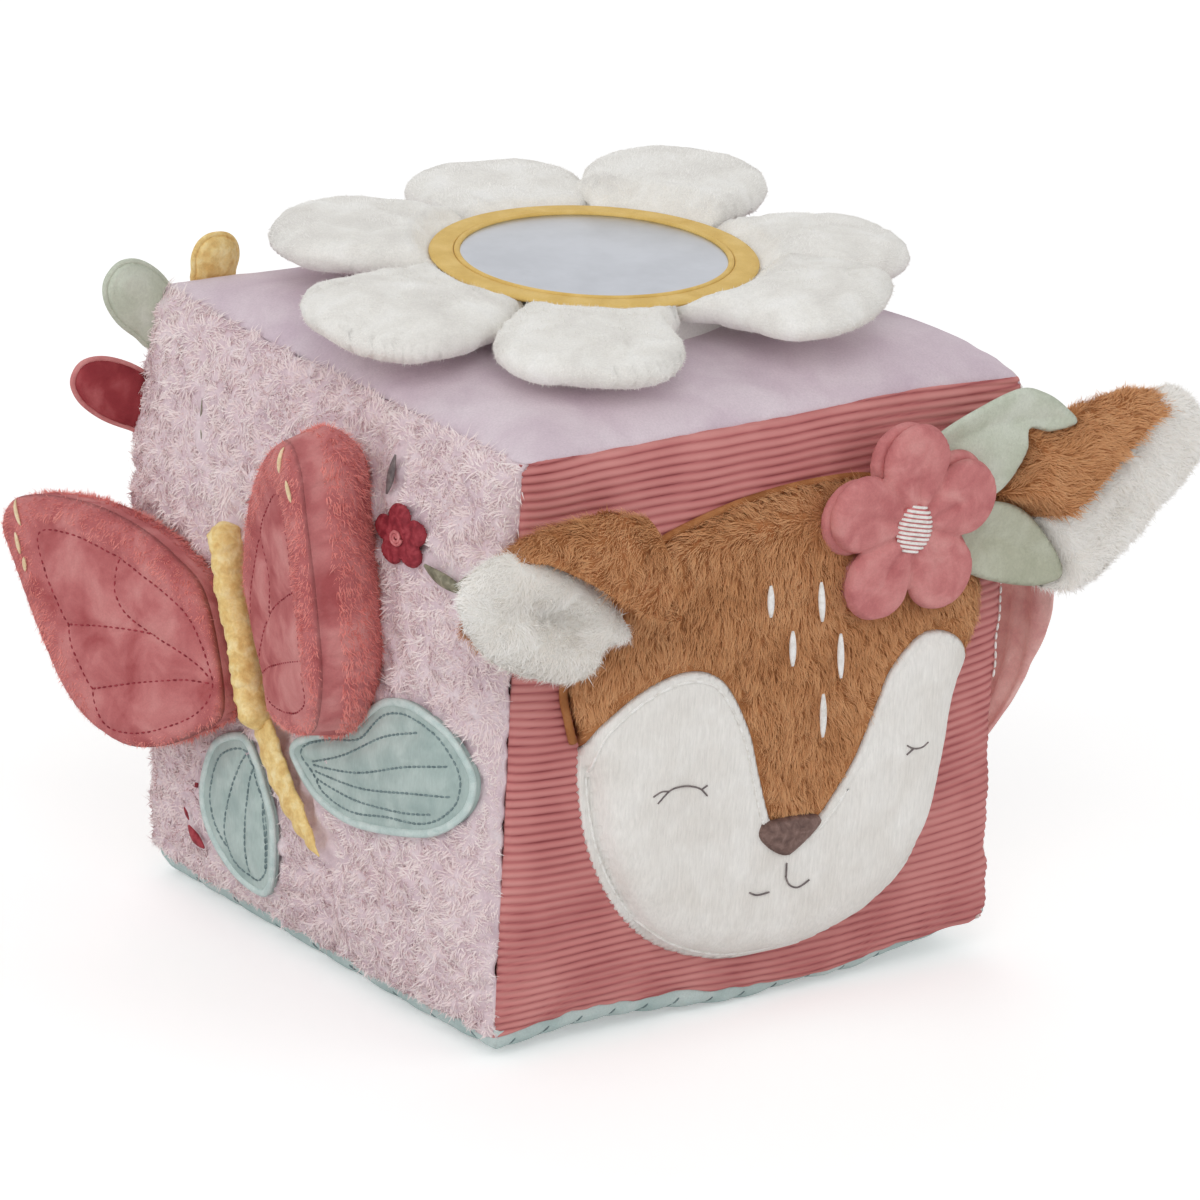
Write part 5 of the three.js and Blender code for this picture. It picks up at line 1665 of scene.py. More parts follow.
@dataclass
class HairFlower:
    """The two-layered flower with a striped eye, and its felt leaves.

    Attributes:
        face: the front face.
        middle: the flower's middle.
        radius: its radius.
        level: how far its lower layer stands over the face's seams.
    """

    face: Face
    middle: tuple[float, float] = (32.8, 46.2)
    radius: float = 26.0
    level: float = 11.2

    LEAF_LEVEL = 10.6
    LEAF_BEND = ((60.0, 38.5), (80.0, 38.5))
    FOLD = 1.6
    UPPER_LEAF = ((38, 60), (43.5, 66.5), (55.4, 71.8), (67, 75.1), (74.7, 72.9), (81.4, 68.4),
                  (85.5, 63.4), (78, 62), (71.5, 63.5), (70.6, 57.5), (62.9, 48.5), (50, 47))
    LOWER_LEAF = ((50, 44), (58, 46.5), (69.2, 43.8), (77.8, 36), (85.2, 24.2), (79, 21.8), (69, 23.4),
                  (57, 27.6), (48, 34))

    def lobes(self, radius: float, turn: float) -> Array:
        """The outline of five round lobes.

        Args:
            radius: how far they reach.
            turn: the angle of the first.

        Returns:
            The outline.
        """
        angle = circle(220)
        off = (angle - math.radians(turn) + math.pi / 5) % (2 * math.pi / 5) - math.pi / 5
        centre, lobe = 0.62, 0.38
        reach = radius * (centre * np.cos(off) + np.sqrt(lobe**2 - (centre * np.sin(off)) ** 2))
        return rows(self.middle[0] + reach * np.cos(angle), self.middle[1] + reach * np.sin(angle))

    def layer(self, name: str, radius: float, turn: float, base: float, thick: float, node: str) -> None:
        """One layer of the flower.

        Args:
            name: the piece's name.
            radius: how far its lobes reach.
            turn: the angle of its first lobe.
            base: its underside's height.
            thick: its thickness.
            node: the node that it replaces.
        """
        outline = self.lobes(radius, turn)

        def top(x: Array, y: Array, gap: Array) -> Array:
            """Puffed lobes with creases that run to the middle."""
            dx, dy = x - self.middle[0], y - self.middle[1]
            angle, far = np.arctan2(dy, dx) - math.radians(turn), np.hypot(dx, dy)
            spread = np.abs((angle * 5 / (2 * math.pi) + 0.5) % 1 - 0.5) * 2
            between = np.exp(-((1 - spread) * far * 0.6 / 1.1) ** 2)
            crease = np.exp(-(spread * far * 0.6 / 0.8) ** 2) * np.clip(1 - (far - 12) / 7, 0, 1)
            puff = thick * (0.45 * round_edge(gap, 1.4) + 0.55 * round_edge(gap, 7.5))
            sunk = 1.3 * between * (gap > 0) + 0.8 * crease * np.clip(gap, 0, 1)
            return base + thick * 0.35 + puff * 0.75 - sunk

        shape = pad(outline, 0.7, top, lambda x, y, gap: base + thick * 0.35 - thick * 0.35
                    * round_edge(gap, 2.0))
        Piece.make(name, shape, self.face.matrix, ROSE, "block", "rose", [node], fill=0.7)

    def build(self) -> None:
        """Makes the flower and its leaves."""
        self.layer("flower_lower_layer", self.radius - 0.2, 23, self.level - 0.4, 3.4, "flower_back")
        self.layer("flower_upper_layer", self.radius, 17, self.level + 2.8, 4.0, "flower_front")
        x, y = self.middle[0] - 1.0, self.middle[1]
        base = self.level + 6.2
        turn = circle(48)
        outline = rows(x + 5.4 * np.cos(turn), y + 6.5 * np.sin(turn))
        eye = pad(outline, 0.45, lambda a, b, gap: base + 1.5 * round_edge(gap, 3.2),
                  lambda a, b, gap: base - 0.2 * (gap > 0))
        Piece.make("flower_eye_pad", eye, self.face.matrix, THREADS["rose"], "block", "white_velour",
                   ["flower_eye"])
        threads, slant = [], math.radians(-14)
        for k in range(-5, 6):
            offset = k * 1.13
            reach = 6.1 * math.sqrt(max(0.0, 1 - (offset / 6.3) ** 2))
            t = np.linspace(-reach, reach, 9) * 0.88
            line = rows(x + t * math.cos(slant) - offset * math.sin(slant) * 0.8,
                             y + t * math.sin(slant) + offset * math.cos(slant))
            gap = 1 - np.hypot((line[:, 0] - x) / 5.4, (line[:, 1] - y) / 6.5)
            level = base + 1.5 * round_edge(np.clip(gap, 0, 1) * 5.4, 3.2) + 0.1
            threads.append(np.column_stack([line, level]))
        Stitch(0.4, 0).sew("flower_eye_threads", threads, self.face.matrix, THREADS["white"], "block",
                           "white_velour")
        self.leaf("leaf_upper_felt", self.UPPER_LEAF, "leaf_upper", self.LEAF_LEVEL,
                  ((40, 60), (60, 66), (80, 65)), SAGE)
        # The lower leaf takes the sage felt darkened as painted shade.
        self.leaf("leaf_lower_felt", self.LOWER_LEAF, "leaf_lower", self.LEAF_LEVEL - 0.6,
                  ((50, 40), (66, 36), (84, 24.5)), SAGE_PAINTED_SHADE)

    def leaf(self, name: str, points: Outline, node: str, base: float, vein: Outline, finish: Finish) -> None:
        """A felt leaf, folded a little along its vein.

        Args:
            name: the piece's name.
            points: its outline.
            node: the node that it replaces.
            base: its underside's height over the seams.
            vein: the line of the fold.
            finish: its felt.
        """
        outline = curve_through(points, 0.8)
        line = curve_through(vein, 1.0, False)

        def level(x: Array, y: Array) -> Array:
            """The leaf's middle surface."""
            gap, _ = distance_to(rows(x, y), line, False)
            return base - self.FOLD * np.exp(-gap / 4) + 0.07 * np.maximum(np.hypot(x - 31, y - 46) - 24, 0)

        shape = pad(outline, 0.9, lambda x, y, gap: level(x, y) + 0.85 * round_edge(gap, 1.0) + 0.2,
                    lambda x, y, gap: level(x, y) + 0.2 - 0.85 * round_edge(gap, 1.0))
        bend = [self.face.matrix @ Vector((*place, base)) for place in self.LEAF_BEND]
        Piece.make(name, shape, self.face.matrix, finish, "ear_right", "sage", [node], bend)


# Butterfly

@dataclass
class UpperWing:
    """A stuffed upper wing of the butterfly: a stitched front on a furry back.

    Attributes:
        name: left or right.
        face: the face that carries it.
        frame: from the butterfly's frame to the face's.
        side: 1 for the wing on the right, or -1.
        root: how far its inner edge stands over the face's seams.
        tilt: how far it rises outwards, in degrees.
        reach: its greatest length, from the body outwards.
        rise: its height.
        depth: how far its back is stuffed.
        offset: how far its root is from the body's middle line.
        bulge: how far its stuffed back stands out beyond its seam, as a share.
    """

    name: str
    face: Face
    frame: Array
    side: int
    root: float
    tilt: float
    reach: float = 64.0
    rise: float = 68.0
    depth: float = 20.0
    offset: float = 3.5
    bulge: float = 0.09

    SHARES = ((0.04, -0.06), (0.06, 0.17), (0.16, 0.3), (0.3, 0.42), (0.5, 0.53), (0.73, 0.6), (0.92, 0.61),
              (1, 0.52), (0.97, 0.36), (0.9, 0.08), (0.8, -0.17), (0.62, -0.33), (0.42, -0.37),
              (0.2, -0.34), (0.07, -0.28))
    BORDER = ((5.5, -13), (5.8, -2), (9.6, 7.6), (20.2, 17.4), (29.1, 24.2), (41, 30.6), (51, 32),
              (51, 21.5), (47.4, 9), (46.6, 1.5), (43.4, -8.6), (41.6, -17), (36, -20.2), (26.3, -21),
              (12, -18.6))
    VEINS = (((6, -10), (9, -5.6), (20.7, 2.4), (33.4, 6.1), (47, 8.4)),
             ((20.7, 2.4), (27.6, 8.6), (29.8, 14.4), (28.6, 19.5), (27, 22.6)),
             ((6, -11.5), (13.2, -9.6), (27.9, -8.6), (43.4, -8.4)))
    TUFTS = {"left": ((56.5, 38, 75, 3.4), (57.5, 30.5, 85, 2.8), (56.5, 25, 95, 1.8)),
             "right": ((59.0, 40.5, 78, 3.0), (61.0, 32.8, 86, 2.7))}
    BEND = (-1.0, 10.0)
    CLEARANCE = 1.2

    def __post_init__(self) -> None:
        self.outline = curve_through([(a * self.reach, b * self.rise) for a, b in self.SHARES], 1.0)
        self.border = curve_through(self.BORDER, 0.8)
        self.veins = [curve_through(vein, 0.8, False) for vein in self.VEINS]

    def place(self, points: Array) -> Array:
        """From the wing's own plane to the face's frame, never deeper than the panel.

        Args:
            points: outwards from the body, up, and out of the wing.

        Returns:
            The points in the face's frame.
        """
        tilt = math.radians(self.tilt)
        x = self.side * (points[:, 0] * math.cos(tilt) - points[:, 2] * math.sin(tilt) + self.offset)
        z = points[:, 0] * math.sin(tilt) + points[:, 2] * math.cos(tilt) + self.root
        flat = rows(x, points[:, 1], z, 1.0) @ self.frame.T
        half = self.face.half
        floor = self.face.swell(*np.clip(flat[:, :2], -half, half).T) + self.CLEARANCE
        floor = np.where(np.abs(flat[:, 0]) < half, floor, -np.inf)
        low = flat[:, 2] < floor
        flat[low, 2] = floor[low]
        return flat[:, :3]

    def front_level(self, x: Array, y: Array) -> Array:
        """The height of the stitched front over the wing's plane."""
        places = rows(x, y)
        gap, _ = distance_to(places, self.outline)
        level = 3.6 * round_edge(gap, 6.5)
        for line, closed in ((self.border, True), *((vein, False) for vein in self.veins)):
            near, _ = distance_to(places, line, closed)
            level -= 1.0 * np.exp(-near / 1.3) * np.clip(gap / 3, 0, 1)
        soft = rows(x, y, 9.0 * self.side)
        return level + 0.25 * ripple(soft, 7) * np.clip(gap / 4, 0, 1)

    def build(self) -> None:
        """Makes the wing."""
        body, prefix, matrix = f"wing_{self.name}", f"upper_wing_{self.name}", self.face.matrix
        front = pad(self.outline, 1.0, lambda x, y, gap: np.where(gap > 0, self.front_level(x, y), 0.0),
                    lambda x, y, gap: 0.5 * round_edge(gap, 3))
        band = front.copy()
        move_to(front, self.place(coordinates(front)))
        bend = self.bend_points()
        Piece.make(f"{prefix}_face", front, matrix, WING, body, "rose_velour", [f"{prefix}_front"], bend,
                   fill=0.7)
        back = pad(self.outline, 1.4, lambda x, y, gap: -0.4 * round_edge(gap, 3),
                   lambda x, y, gap: -self.depth * round_edge(gap, 17) ** 0.85)
        places = coordinates(back)
        full = 1 + self.bulge * np.sin(math.pi * np.clip(-places[:, 2] / self.depth, 0, 1)) ** 0.8
        middle = np.array([0.5 * self.reach, 0.1 * self.rise])
        places[:, :2] = middle + (places[:, :2] - middle) * full[:, None]
        move_to(back, places)
        furry = back.copy()
        move_to(back, self.place(coordinates(back)))
        Piece.make(f"{prefix}_puff", back, matrix, WING, body, "rose_velour", [f"{prefix}_back"], bend,
                   fill=0.85)
        self.grow_pile(furry, band)
        threads = [self.place(laid(line, self.front_level, 0.22)) for line in (self.border, *self.veins)]
        Stitch(0.24, 1.15, 0.75).sew(f"{prefix}_stitches", threads, matrix, THREADS["wine"], body,
                                     "rose_velour", bend)
        shape = bmesh.new()
        for a, b, turn, size in self.TUFTS[self.name]:
            t = np.linspace(-1, 1, 9)
            angle = math.radians(turn)
            line = rows(a + t * size * math.cos(angle), b + t * size * math.sin(angle))
            level = self.place(laid(line, self.front_level, 0.35))
            tube(shape, level, 0.6 * np.sqrt(1.04 - t**2) + 0.05, 8, flat=0.7)
        Piece.make(f"{prefix}_tuft", shape, matrix, THREADS["cream"], body, "rose_velour", (), bend)

    def bend_points(self) -> list[Vector]:
        """Where the wing starts and ends to bend away from the body."""
        return [self.face.matrix @ Matrix(self.frame)
                @ Vector((self.side * (self.offset + reach), 0, self.root)) for reach in self.BEND]

    def grow_pile(self, furry: Mesh, band: Mesh) -> None:
        """Short pile on the back and outside the front's border.

        Args:
            furry: the back, in the wing's frame, which is used up.
            band: the front, in the wing's frame, which is used up.
        """
        pile = Pile(length=1.7, width=0.28, spacing=0.52, lean=0.6, tuft=2.0, gather=0.3, curl=0.28,
                    segments=1)
        draw = np.random.RandomState(41 + self.side)
        roots, out, length = [], [], []
        for shape, share in ((furry, 1.0), (band, 0.75)):
            places, away = scatter(shape, pile.spacing, draw)
            edge, _ = distance_to(places, self.border)
            outside = ~inside(places, self.border)
            if shape is furry:
                keep = away[:, 2] < 0.35
            else:
                keep = outside & (away[:, 2] > -0.1) & (edge > 0.5)
            size = np.full(len(places), share) if shape is furry else share * np.clip(edge / 4, 0.3, 1)
            roots.append(places[keep])
            out.append(away[keep])
            length.append(size[keep])
            shape.free()
        roots, out, length = np.concatenate(roots), np.concatenate(out), np.concatenate(length)
        there = self.place(roots)
        normal = self.place(roots + out * 0.01) - there
        size = np.linalg.norm(normal, axis=1)
        fine = size > 1e-3
        there, normal, length = there[fine], normal[fine] / size[fine][:, None], length[fine]
        lay = rows(0.4 * ripple(there, 11, 3), -0.8 + 0.5 * ripple(there, 9, 5), 0)
        made = grow(f"upper_wing_{self.name}_pile", there, normal, lay, pile, 43 + self.side,
                    self.face.matrix, length)
        Piece.hand_over(made, WING_PILE, f"wing_{self.name}", "rose_velour", (), self.bend_points())


@dataclass
class Butterfly:
    """The butterfly on the plush: a gathered body, four wings and a tail.

    Attributes:
        face: the left face.
        place: its middle on the face.
        turn: how far it leans, in degrees.
    """

    face: Face
    place: tuple[float, float] = (-18.0, 5.0)
    turn: float = 22.0

    LOWER_RIGHT = ((0.4, -19.6), (10, -13.6), (22.3, -8.2), (32.2, 0.6), (39, 5.2), (47.9, 7.4),
                   (55.9, 6.7), (63.6, 3.9), (68.8, -1.6), (70.8, -6.8), (69.7, -13.6), (65.7, -19),
                   (59.8, -23.1), (52, -26), (37.1, -30), (23.9, -31.6), (11.3, -29.8), (3.4, -24.9))
    LOWER_LEFT = ((-20.6, -23.5), (-30.5, -27.6), (-35.6, -34.1), (-38, -43.4), (-36.4, -51.6),
                  (-31.6, -58.2), (-25, -63.0), (-18.1, -65.0), (-12, -64.4), (-7.9, -59.4), (-6, -51.6),
                  (-5.8, -42.8), (-7.3, -38), (-10.7, -32.5), (-14.5, -27.8))
    RIGHT_VEINS = (((8, -21.5), (22, -15), (38, -5), (52, 0.8)),
                   ((8, -22.4), (28, -17.6), (48, -9.4), (63, -4.6)),
                   ((9, -23.6), (30, -21), (50, -15.6), (64, -12.2)),
                   ((10, -25.2), (28, -24.8), (46, -21.8), (58, -18.6)))
    LEFT_VEINS = (((-18.6, -27), (-24, -38), (-27.6, -50), (-27, -57)),
                  ((-16, -28), (-17.6, -40), (-18.6, -52), (-18, -60)),
                  ((-13.6, -30), (-11.6, -40), (-10.6, -50), (-11.4, -57)))

    def __post_init__(self) -> None:
        turned = Matrix.Translation((*self.place, 0)) @ Matrix.Rotation(math.radians(self.turn), 4, "Z")
        self.frame = np.array(turned)
        self.wings = (UpperWing("left", self.face, self.frame, -1, 17.0, 18.0, bulge=0.02),
                      UpperWing("right", self.face, self.frame, 1, 12.0, 17.0, rise=73.0, depth=21.0))
        self.lower = {"right": (curve_through(self.LOWER_RIGHT, 1.0), self.RIGHT_VEINS),
                      "left": (curve_through(self.LOWER_LEFT, 1.0), self.LEFT_VEINS)}

    def on_face(self, points: Iterable[Sequence[float]]) -> Array:
        """Points of the butterfly's frame in the face's frame."""
        places = np.array(list(points), float)
        return np.column_stack([places, np.ones(len(places))]) @ self.frame.T[:, :3]

    def spared(self, roots: Array) -> Array:
        """How long the plush stands round the butterfly, as a share."""
        share = np.ones(len(roots))
        for outline, _ in self.lower.values():
            gap, _ = distance_to(roots, outline)
            gap[inside(roots, outline)] *= -1
            share *= np.clip((gap + 0.6) / 2.4, 0, 1)
        middle = self.on_face([(0, 27, 0), (0, -24, 0), (13.2, -57, 0)])[:, :2]
        gap, _ = distance_to(roots, middle, False)
        share *= np.clip((gap - 2.2) / 3, 0, 1)
        return share

    def build(self) -> None:
        """Makes the butterfly."""
        self.build_body()
        for name, (outline, veins) in self.lower.items():
            self.build_lower(name, outline, veins)
        for wing in self.wings:
            wing.build()

    def build_body(self) -> None:
        """The gathered satin body and the flat tail that hangs from it."""
        matrix = self.face.matrix
        t = np.linspace(0, 1, 120)
        gathers = 0.94 + 0.1 * np.abs(np.sin(math.pi * (t * 11 + 0.4 * np.sin(t * 9)))) ** 0.7
        ends = np.clip(np.minimum(t, 1 - t) / 0.05, 0.02, 1) ** 0.5
        line = self.on_face(rows(0.5 * np.sin(t * 14), 27.4 - 52 * t, 14.4))
        shape = bmesh.new()
        tube(shape, line, 3.5 * gathers * ends, 20, flat=1.28)
        places = coordinates(shape)
        squeezed = places * [0.5, 1.6, 0.6]
        places += 0.4 * np.stack([ripple(squeezed, 1.7, k * 3.3) for k in range(3)], 1)
        move_to(shape, places)
        Piece.make("butterfly_body_satin", shape, matrix, MUSTARD, "block", "mustard", ["butterfly_body"])
        t = np.linspace(0, 1, 80)
        shift = np.interp(t, [0, 0.25, 0.5, 0.75, 1], [0.0, 0.035, 0.12, 0.25, 0.4]) * 33
        wide = np.interp(t, [0, 0.1, 0.35, 0.65, 0.88, 1], [0.8, 0.95, 1.0, 0.86, 0.5, 0.06])
        gathers = 0.93 + 0.12 * np.abs(np.sin(math.pi * (t * 6 + 0.2 * np.sin(t * 7))))
        line = self.on_face(rows(shift, -22.6 - 35 * t, 12.6 - 0.6 * t))
        shape = bmesh.new()
        tube(shape, line, 4.4 * wide * gathers, 18, flat=0.36)
        places = coordinates(shape)
        places[:, 2] += 0.5 * np.abs(np.sin(math.pi * np.linspace(0, 6, len(places)))) - 0.2
        squeezed = places * [0.6, 1.3, 0.6]
        places += 0.25 * np.stack([ripple(squeezed, 2.0, k * 3.3) for k in range(3)], 1)
        move_to(shape, places)
        bend = [matrix @ Vector(place) for place in self.on_face([(0, -21.5, 12.6), (0, -29.0, 12.6)])]
        Piece.make("butterfly_tail_satin", shape, matrix, MUSTARD, "tail", "mustard", ["butterfly_tail"],
                   bend)

    def build_lower(self, name: str, outline: Array, veins: Sequence[Outline]) -> None:
        """A flat satin lower wing, with a pale edge and stitched veins.

        Args:
            name: left or right.
            outline: its outline.
            veins: its stitched lines.
        """
        matrix = self.face.matrix
        lines = [curve_through(vein, 0.8, False) for vein in veins]
        inward = unit(outline.mean(0) - outline)
        inner = outline + inward * 4.2

        def level(x: Array, y: Array) -> Array:
            """Its surface, puffed between the stitches."""
            places = rows(x, y)
            gap, _ = distance_to(places, outline)
            height = self.face.swell(x, y) + 1.4 + 2.0 * round_edge(gap, 4)
            for line, closed in ((inner, True), *((line, False) for line in lines)):
                near, _ = distance_to(places, line, closed)
                height -= 0.9 * np.exp(-near / 1.4) * np.clip(gap / 2, 0, 1)
            return height

        def under(x: Array, y: Array, gap: Array) -> Array:
            """Its underside."""
            return self.face.swell(x, y) + 1.4 - 0.8 * round_edge(gap, 2)

        shape = pad(outline, 1.0,
                    lambda x, y, gap: np.where(gap > 0, level(x, y), self.face.swell(x, y) + 1.4), under)
        Piece.make(f"lower_wing_{name}_satin", shape, matrix, WING_AQUA, "block", "wing_aqua",
                   [f"lower_wing_{name}"], fill=0.6)
        edge = bmesh.new()
        tube(edge, laid(outline + inward * 0.9, level, 0.1), np.full(len(outline), 1.1), 8, closed=True,
             flat=0.7)
        Piece.make(f"lower_wing_{name}_edge", edge, matrix, PALE_AQUA, "block", "wing_aqua")
        border = np.concatenate([inner, inner[:1]])
        threads = [laid(line, level, 0.2) for line in (border, *lines)]
        Stitch(0.3, 1.5, 0.35).sew(f"lower_wing_{name}_stitches", threads, matrix, THREADS["slate"], "block",
                                   "wing_aqua")


# Stitched ornaments, loop and tabs

@dataclass
class Embroidery:
    """The small flowers, leaves and stems stitched on the plush.

    Attributes:
        face: the left face.
        level: how far the stitches stand over the cloth under the pile.
    """

    face: Face
    level: float = 2.6

    BLOOM = (41.6, 47.8)
    MARKS = (
        ("sprig", "grey", ((34.6, 56.5), (34.9, 60), (34.3, 66)), 1.3),
        ("stem", "olive", ((-46, 56.5), (-45.3, 50.5), (-44, 45)), 0.3),
        ("leaf", "olive", ((51.5, 43.6), (56, 42.2), (61, 41.4), (66.2, 40.6)), 1.9),
        ("leaf_tip", "olive", ((62.5, 41.4), (66, 44.2), (68.4, 46.4)), 0.9),
        ("bud", "wine", ((-43.9, -56), (-41, -58.4), (-37.3, -59.9)), 1.5),
        ("bud_tip", "wine", ((-45.6, -51.6), (-43.4, -54.4)), 0.6),
        ("dot", "wine", ((-40.3, -43.2), (-39.1, -44)), 1.0),
    )

    def spared(self, roots: Array) -> Array:
        """How long the plush stands round the stitches, as a share."""
        gap, _ = distance_to(roots, np.array([self.BLOOM, (self.BLOOM[0] + 0.1, self.BLOOM[1])]), False)
        share = np.clip((gap - 5.5) / 5, 0.16, 1)
        for _, _, points, thick in self.MARKS:
            gap, _ = distance_to(roots, np.array(points), False)
            share = np.minimum(share, np.clip((gap - thick * 0.8) / 3.5, 0.2, 1))
        return share

    def build(self) -> None:
        """Makes the stitched ornaments."""
        matrix = self.face.matrix
        angle = circle(90)
        reach = 0.62 + 0.38 * np.abs(np.cos(2.5 * (angle - 0.5))) ** 0.6
        outline = rows(self.BLOOM[0] + 10 * reach * np.cos(angle), self.BLOOM[1] + 8 * reach * np.sin(angle))

        def top(x: Array, y: Array, gap: Array) -> Array:
            """Raised satin stitches that run to the middle."""
            around = np.arctan2(y - self.BLOOM[1], x - self.BLOOM[0])
            rays = 0.12 * np.sin(around * 44)
            return self.face.swell(x, y) + self.level + (0.9 + rays) * round_edge(gap, 1.6)

        shape = pad(outline, 0.55, top, lambda x, y, gap: self.face.swell(x, y) + self.level - 0.9
                    * (gap > 0))
        Piece.make("stitched_bloom", shape, matrix, THREADS["wine"], "block", "dark_red")
        heart = bmesh.new()
        turn = np.linspace(0, 4 * math.pi, 60)
        spiral = rows(self.BLOOM[0] + (0.4 + turn * 0.14) * np.cos(turn),
                      self.BLOOM[1] + (0.4 + turn * 0.12) * np.sin(turn))
        line = laid(spiral, self.face.swell, self.level + 1.3)
        tube(heart, line, np.full(60, 0.42), 6)
        Piece.make("stitched_heart", heart, matrix, THREADS["rose"], "block", "rose")
        for name, thread, points, thick in self.MARKS:
            line = curve_through(points, 0.5, False)
            share = np.linspace(0, 1, len(line))
            shape = bmesh.new()
            tube(shape, laid(line, self.face.swell, self.level + 0.3),
                 thick * (0.25 + 0.75 * np.sin(math.pi * share)), 10, flat=0.5)
            Piece.make(f"stitched_{name}", shape, matrix, THREADS[thread], "block",
                       "dark_red" if thread == "wine" else "sage")


@dataclass
class SideLoop:
    """The gathered velour loop on the right face.

    Attributes:
        face: the right face.
        place: its middle on the face.
        half_span: half the distance between its feet.
        width: its width.
        thick: its thickness.
        over: how far it stands off the panel.
    """

    face: Face
    place: tuple[float, float] = (-62.0, 12.0)
    half_span: float = 45.0
    width: float = 20.0
    thick: float = 5.0
    over: float = 14.0

    WIDTHS = ((0, 0.36), (0.125, 0.62), (0.25, 0.85), (0.375, 1), (0.625, 1), (0.75, 0.85), (0.875, 0.62),
              (1, 0.36))

    def build(self) -> None:
        """Makes the loop."""
        t = np.linspace(0, 1, 110)
        rise = (self.face.crown + self.over) * np.sin(math.pi * t)
        line = rows(self.place[0], self.place[1] + (2 * t - 1) * self.half_span, rise)
        wide = np.interp(t, *zip(*self.WIDTHS)) * self.width / 2
        shape = bmesh.new()
        tube(shape, line, wide, 64, flat=self.thick / self.width)
        places = coordinates(shape)
        row = np.repeat(t, 64)
        around = np.tile(circle(64), len(t))
        folds = 0.75 * np.sin(3.0 * np.cos(around) * math.pi + 2.2 * np.sin(row * 9))
        places[:, 2] += folds * np.clip(np.sin(math.pi * row) * 3, 0, 1)
        places[:, 0] += 0.35 * ripple(places, 6, 2)
        low = self.face.swell(places[:, 0], places[:, 1]) + 0.3
        middle = (row > 0.06) & (row < 0.94)
        places[middle, 2] = np.maximum(places[middle, 2], low[middle])
        move_to(shape, places)
        Piece.make("side_loop_velour", shape, self.face.matrix, LOOP, "loop", "rose", ["side_loop"])


@dataclass
class Tab:
    """A small stuffed tab sewn into a back seam.

    Attributes:
        name: its colour's name.
        finish: its finish.
        edge: its sewn edge's finish.
        slot: its material slot.
        place: where it leaves the seam, on the back face.
        angle: which way it points.
        length: how far it stands out.
        width: its width.
        thick: its thickness.
    """

    name: str
    finish: Finish
    edge: Finish
    slot: str
    place: tuple[float, float]
    angle: float
    length: float
    width: float
    thick: float = 5.0

    SHARES = ((0, 0.38), (0.28, 0.47), (0.56, 0.5), (0.82, 0.4), (0.97, 0.17), (0.97, -0.17), (0.82, -0.4),
              (0.56, -0.5), (0.28, -0.47), (0, -0.38))
    BEND = (-0.5, 6.0)

    def build(self, face: Face) -> None:
        """Makes the tab.

        Args:
            face: the back face.
        """
        outline = curve_through([(a * self.length, b * self.width) for a, b in self.SHARES], 0.7)
        half = self.thick / 2

        def top(x: Array, y: Array, gap: Array) -> Array:
            """Its upper side, with a line of stitches inside the edge."""
            return half * round_edge(gap, 5) - 0.45 * np.exp(-((gap - 2.0) / 0.6) ** 2) * (gap > 0)

        shape = pad(outline, 0.8, top, lambda x, y, gap: -top(x, y, gap))
        matrix = face.matrix @ Matrix.Translation((*self.place,
                                                   0)) @ Matrix.Rotation(math.radians(self.angle), 4, "Z")
        bend = [matrix @ Vector((reach, 0, 0)) for reach in self.BEND]
        Piece.make(f"{self.name}_tab_pad", shape, matrix, self.finish, f"tab_{self.name}", self.slot,
                   [f"{self.name}_tab"], bend, fill=0.6)
        edge = bmesh.new()
        tube(edge, laid(outline, lambda x, y: 0 * x), np.full(len(outline), 0.75), 8, closed=True)
        Piece.make(f"{self.name}_tab_edge", edge, matrix, self.edge, f"tab_{self.name}", self.slot, (), bend)


def dress_inside() -> None:
    """Gives the filling and the rattle, which stay as they are, their finishes."""
    finishes = {"filling_block": FOAM, "pocket_plug": FOAM, "rattle_case_lower": CASE,
                "rattle_case_upper": CASE, "rattle_bead_1": BEAD, "rattle_bead_2": BEAD,
                "rattle_bead_3": BEAD}
    for node, finish in finishes.items():
        for slot in bpy.data.objects[node].material_slots:
            slot.material = finish.make()


# Studio

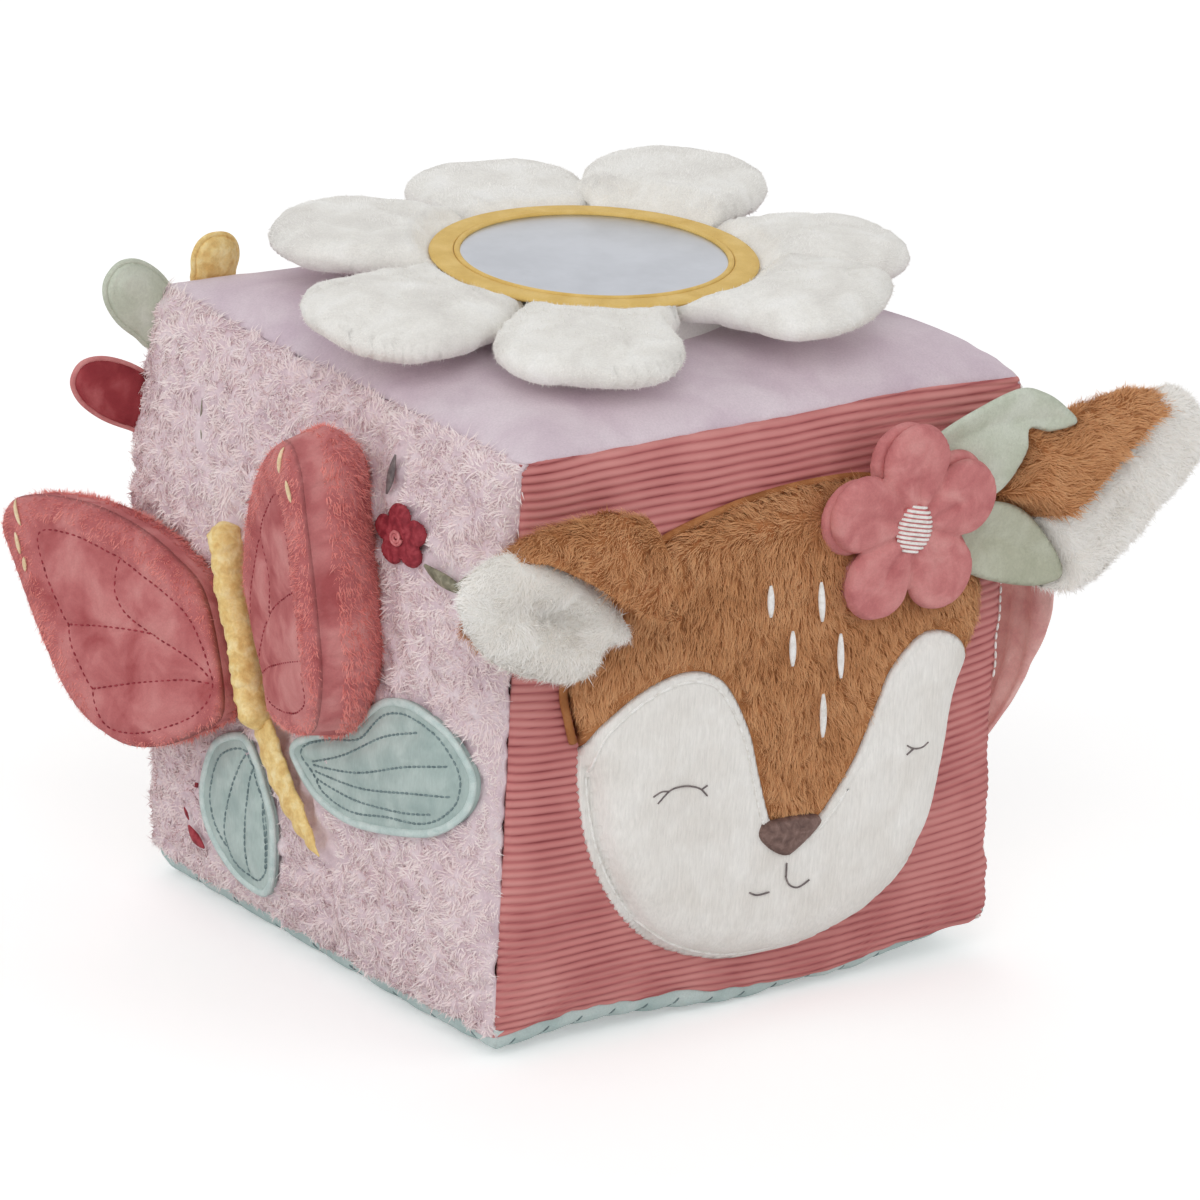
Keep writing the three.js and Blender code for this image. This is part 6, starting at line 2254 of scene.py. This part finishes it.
@dataclass(frozen=True)
class Studio:
    """The floor, the light and the camera.

    Attributes:
        azimuth: how far the camera stands round to the left.
        elevation: how far up it stands.
        roll: how far it is turned about its own line of sight.
        place: where it stands, in metres.
        lens: its focal length in millimetres.
        floor_glow: how much brighter the camera sees the floor.
    """

    azimuth: float = -37.19
    elevation: float = 19.77
    roll: float = 3.02
    place: tuple[float, float, float] = (-1.3597, -1.8018, 0.8952)
    lens: float = 287.4
    floor_glow: float = 0.34

    FLOOR_HALF = 6.0
    FLOOR_COLOUR = (0.86, 0.86, 0.86, 1)
    SKY = 0.55
    AIM = (0, 0, 0.08)
    SENSOR = 36
    FAR = 50
    BOUNCES = (10, 8)
    LAMPS = (("key_lamp", (-1.2, -1.6, 1.9), 1.4, 13.5), ("side_lamp", (-2.0, -0.1, 1.0), 1.6, 9.5),
             ("fill_lamp", (1.4, -1.5, 1.0), 1.6, 6.0), ("back_lamp", (0.6, 1.6, 1.6), 1.6, 7.5))

    def build(self) -> None:
        """Makes the studio."""
        scene = bpy.context.scene
        scene.cycles.max_bounces, scene.cycles.diffuse_bounces = self.BOUNCES
        scene.view_settings.view_transform = "Standard"
        self.build_floor()
        self.build_light()
        self.build_camera()

    def build_floor(self) -> None:
        """A wide pale floor under the block."""
        shape = bmesh.new()
        bmesh.ops.create_grid(shape, x_segments=2, y_segments=2, size=self.FLOOR_HALF)
        floor = finished("floor", shape, Matrix.Identity(4))
        material, build, shader = new_material("floor")
        shader.inputs["Base Color"].default_value = self.FLOOR_COLOUR
        shader.inputs["Roughness"].default_value = 0.9
        shader.inputs["Emission Color"].default_value = (1, 1, 1, 1)
        path = build.add("ShaderNodeLightPath")
        glow = build.ramp(path.outputs["Is Camera Ray"], top=self.floor_glow)
        build.join(glow, shader.inputs["Emission Strength"])
        floor.data.materials.append(material)

    def build_light(self) -> None:
        """An even white sky and four large soft lamps."""
        world = bpy.data.worlds.new("sky")
        world.use_nodes = True
        bpy.context.scene.world = world
        build = Tree(world.node_tree)
        sky = world.node_tree.nodes["Background"]
        sky.inputs["Color"].default_value = (1, 1, 1, 1)
        path = build.add("ShaderNodeLightPath")
        seen = build.add("ShaderNodeMath",
                         {0: path.outputs["Is Camera Ray"], 1: path.outputs["Is Glossy Ray"]},
                         operation="MAXIMUM")
        build.join(build.ramp(seen.outputs[0], bottom=self.SKY), sky.inputs["Strength"])
        for lamp in self.LAMPS:
            self.lamp(*lamp)

    def lamp(self, name: str, place: tuple[float, float, float], size: float, power: float) -> None:
        """A square soft lamp that faces the block.

        Args:
            name: its name.
            place: where it stands.
            size: its side.
            power: its power in watts.
        """
        data = bpy.data.lights.new(name, "AREA")
        data.shape, data.size, data.energy = "SQUARE", size, power
        lamp = bpy.data.objects.new(name, data)
        lamp.location = place
        lamp.visible_glossy = False
        lamp.rotation_euler = (Vector(self.AIM) - Vector(place)).to_track_quat("-Z", "Y").to_euler()
        bpy.context.scene.collection.objects.link(lamp)

    def build_camera(self) -> None:
        """The camera at the photograph's angle."""
        turn, rise, roll = (math.radians(a) for a in (self.azimuth, self.elevation, self.roll))
        back = Vector((math.sin(turn) * math.cos(rise), -math.cos(turn) * math.cos(rise), math.sin(rise)))
        right = Vector((0, 0, 1)).cross(back).normalized()
        up = back.cross(right)
        tilted_right = right * math.cos(roll) + up * math.sin(roll)
        tilted_up = up * math.cos(roll) - right * math.sin(roll)
        data = bpy.data.cameras.new("camera")
        data.lens, data.sensor_width, data.clip_end = self.lens, self.SENSOR, self.FAR
        camera = bpy.data.objects.new("camera", data)
        camera.matrix_world = Matrix.Translation(self.place) @ Matrix(
            (tilted_right, tilted_up, back)).transposed().to_4x4()
        bpy.context.scene.collection.objects.link(camera)
        bpy.context.scene.camera = camera


def main() -> None:
    """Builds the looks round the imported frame."""
    logging.basicConfig(level=logging.INFO, format="%(message)s")
    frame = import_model()
    Studio().build()
    cube = Cube()
    cube.build()
    left, front = cube.faces[Side.LEFT], cube.faces[Side.FRONT]
    butterfly, embroidery = Butterfly(left), Embroidery(left)
    cube.grow_plush(lambda roots: butterfly.spared(roots) * embroidery.spared(roots))
    Daisy(cube.faces[Side.TOP]).build()
    butterfly.build()
    embroidery.build()
    Fawn(front).build()
    HairFlower(front).build()
    SideLoop(cube.faces[Side.RIGHT]).build()
    for tab in (Tab("mustard", MUSTARD, MUSTARD, "mustard", (62.5, 75), 96, 12.5, 13),
                Tab("sage", SAGE, SAGE, "sage", (75, 65), 44, 25, 15.5),
                Tab("red", WINE, ROSE, "dark_red", (75, 42), 29, 32, 14.5)):
        tab.build(cube.faces[Side.BACK])
    dress_inside()


if __name__ == "__main__":
    main()
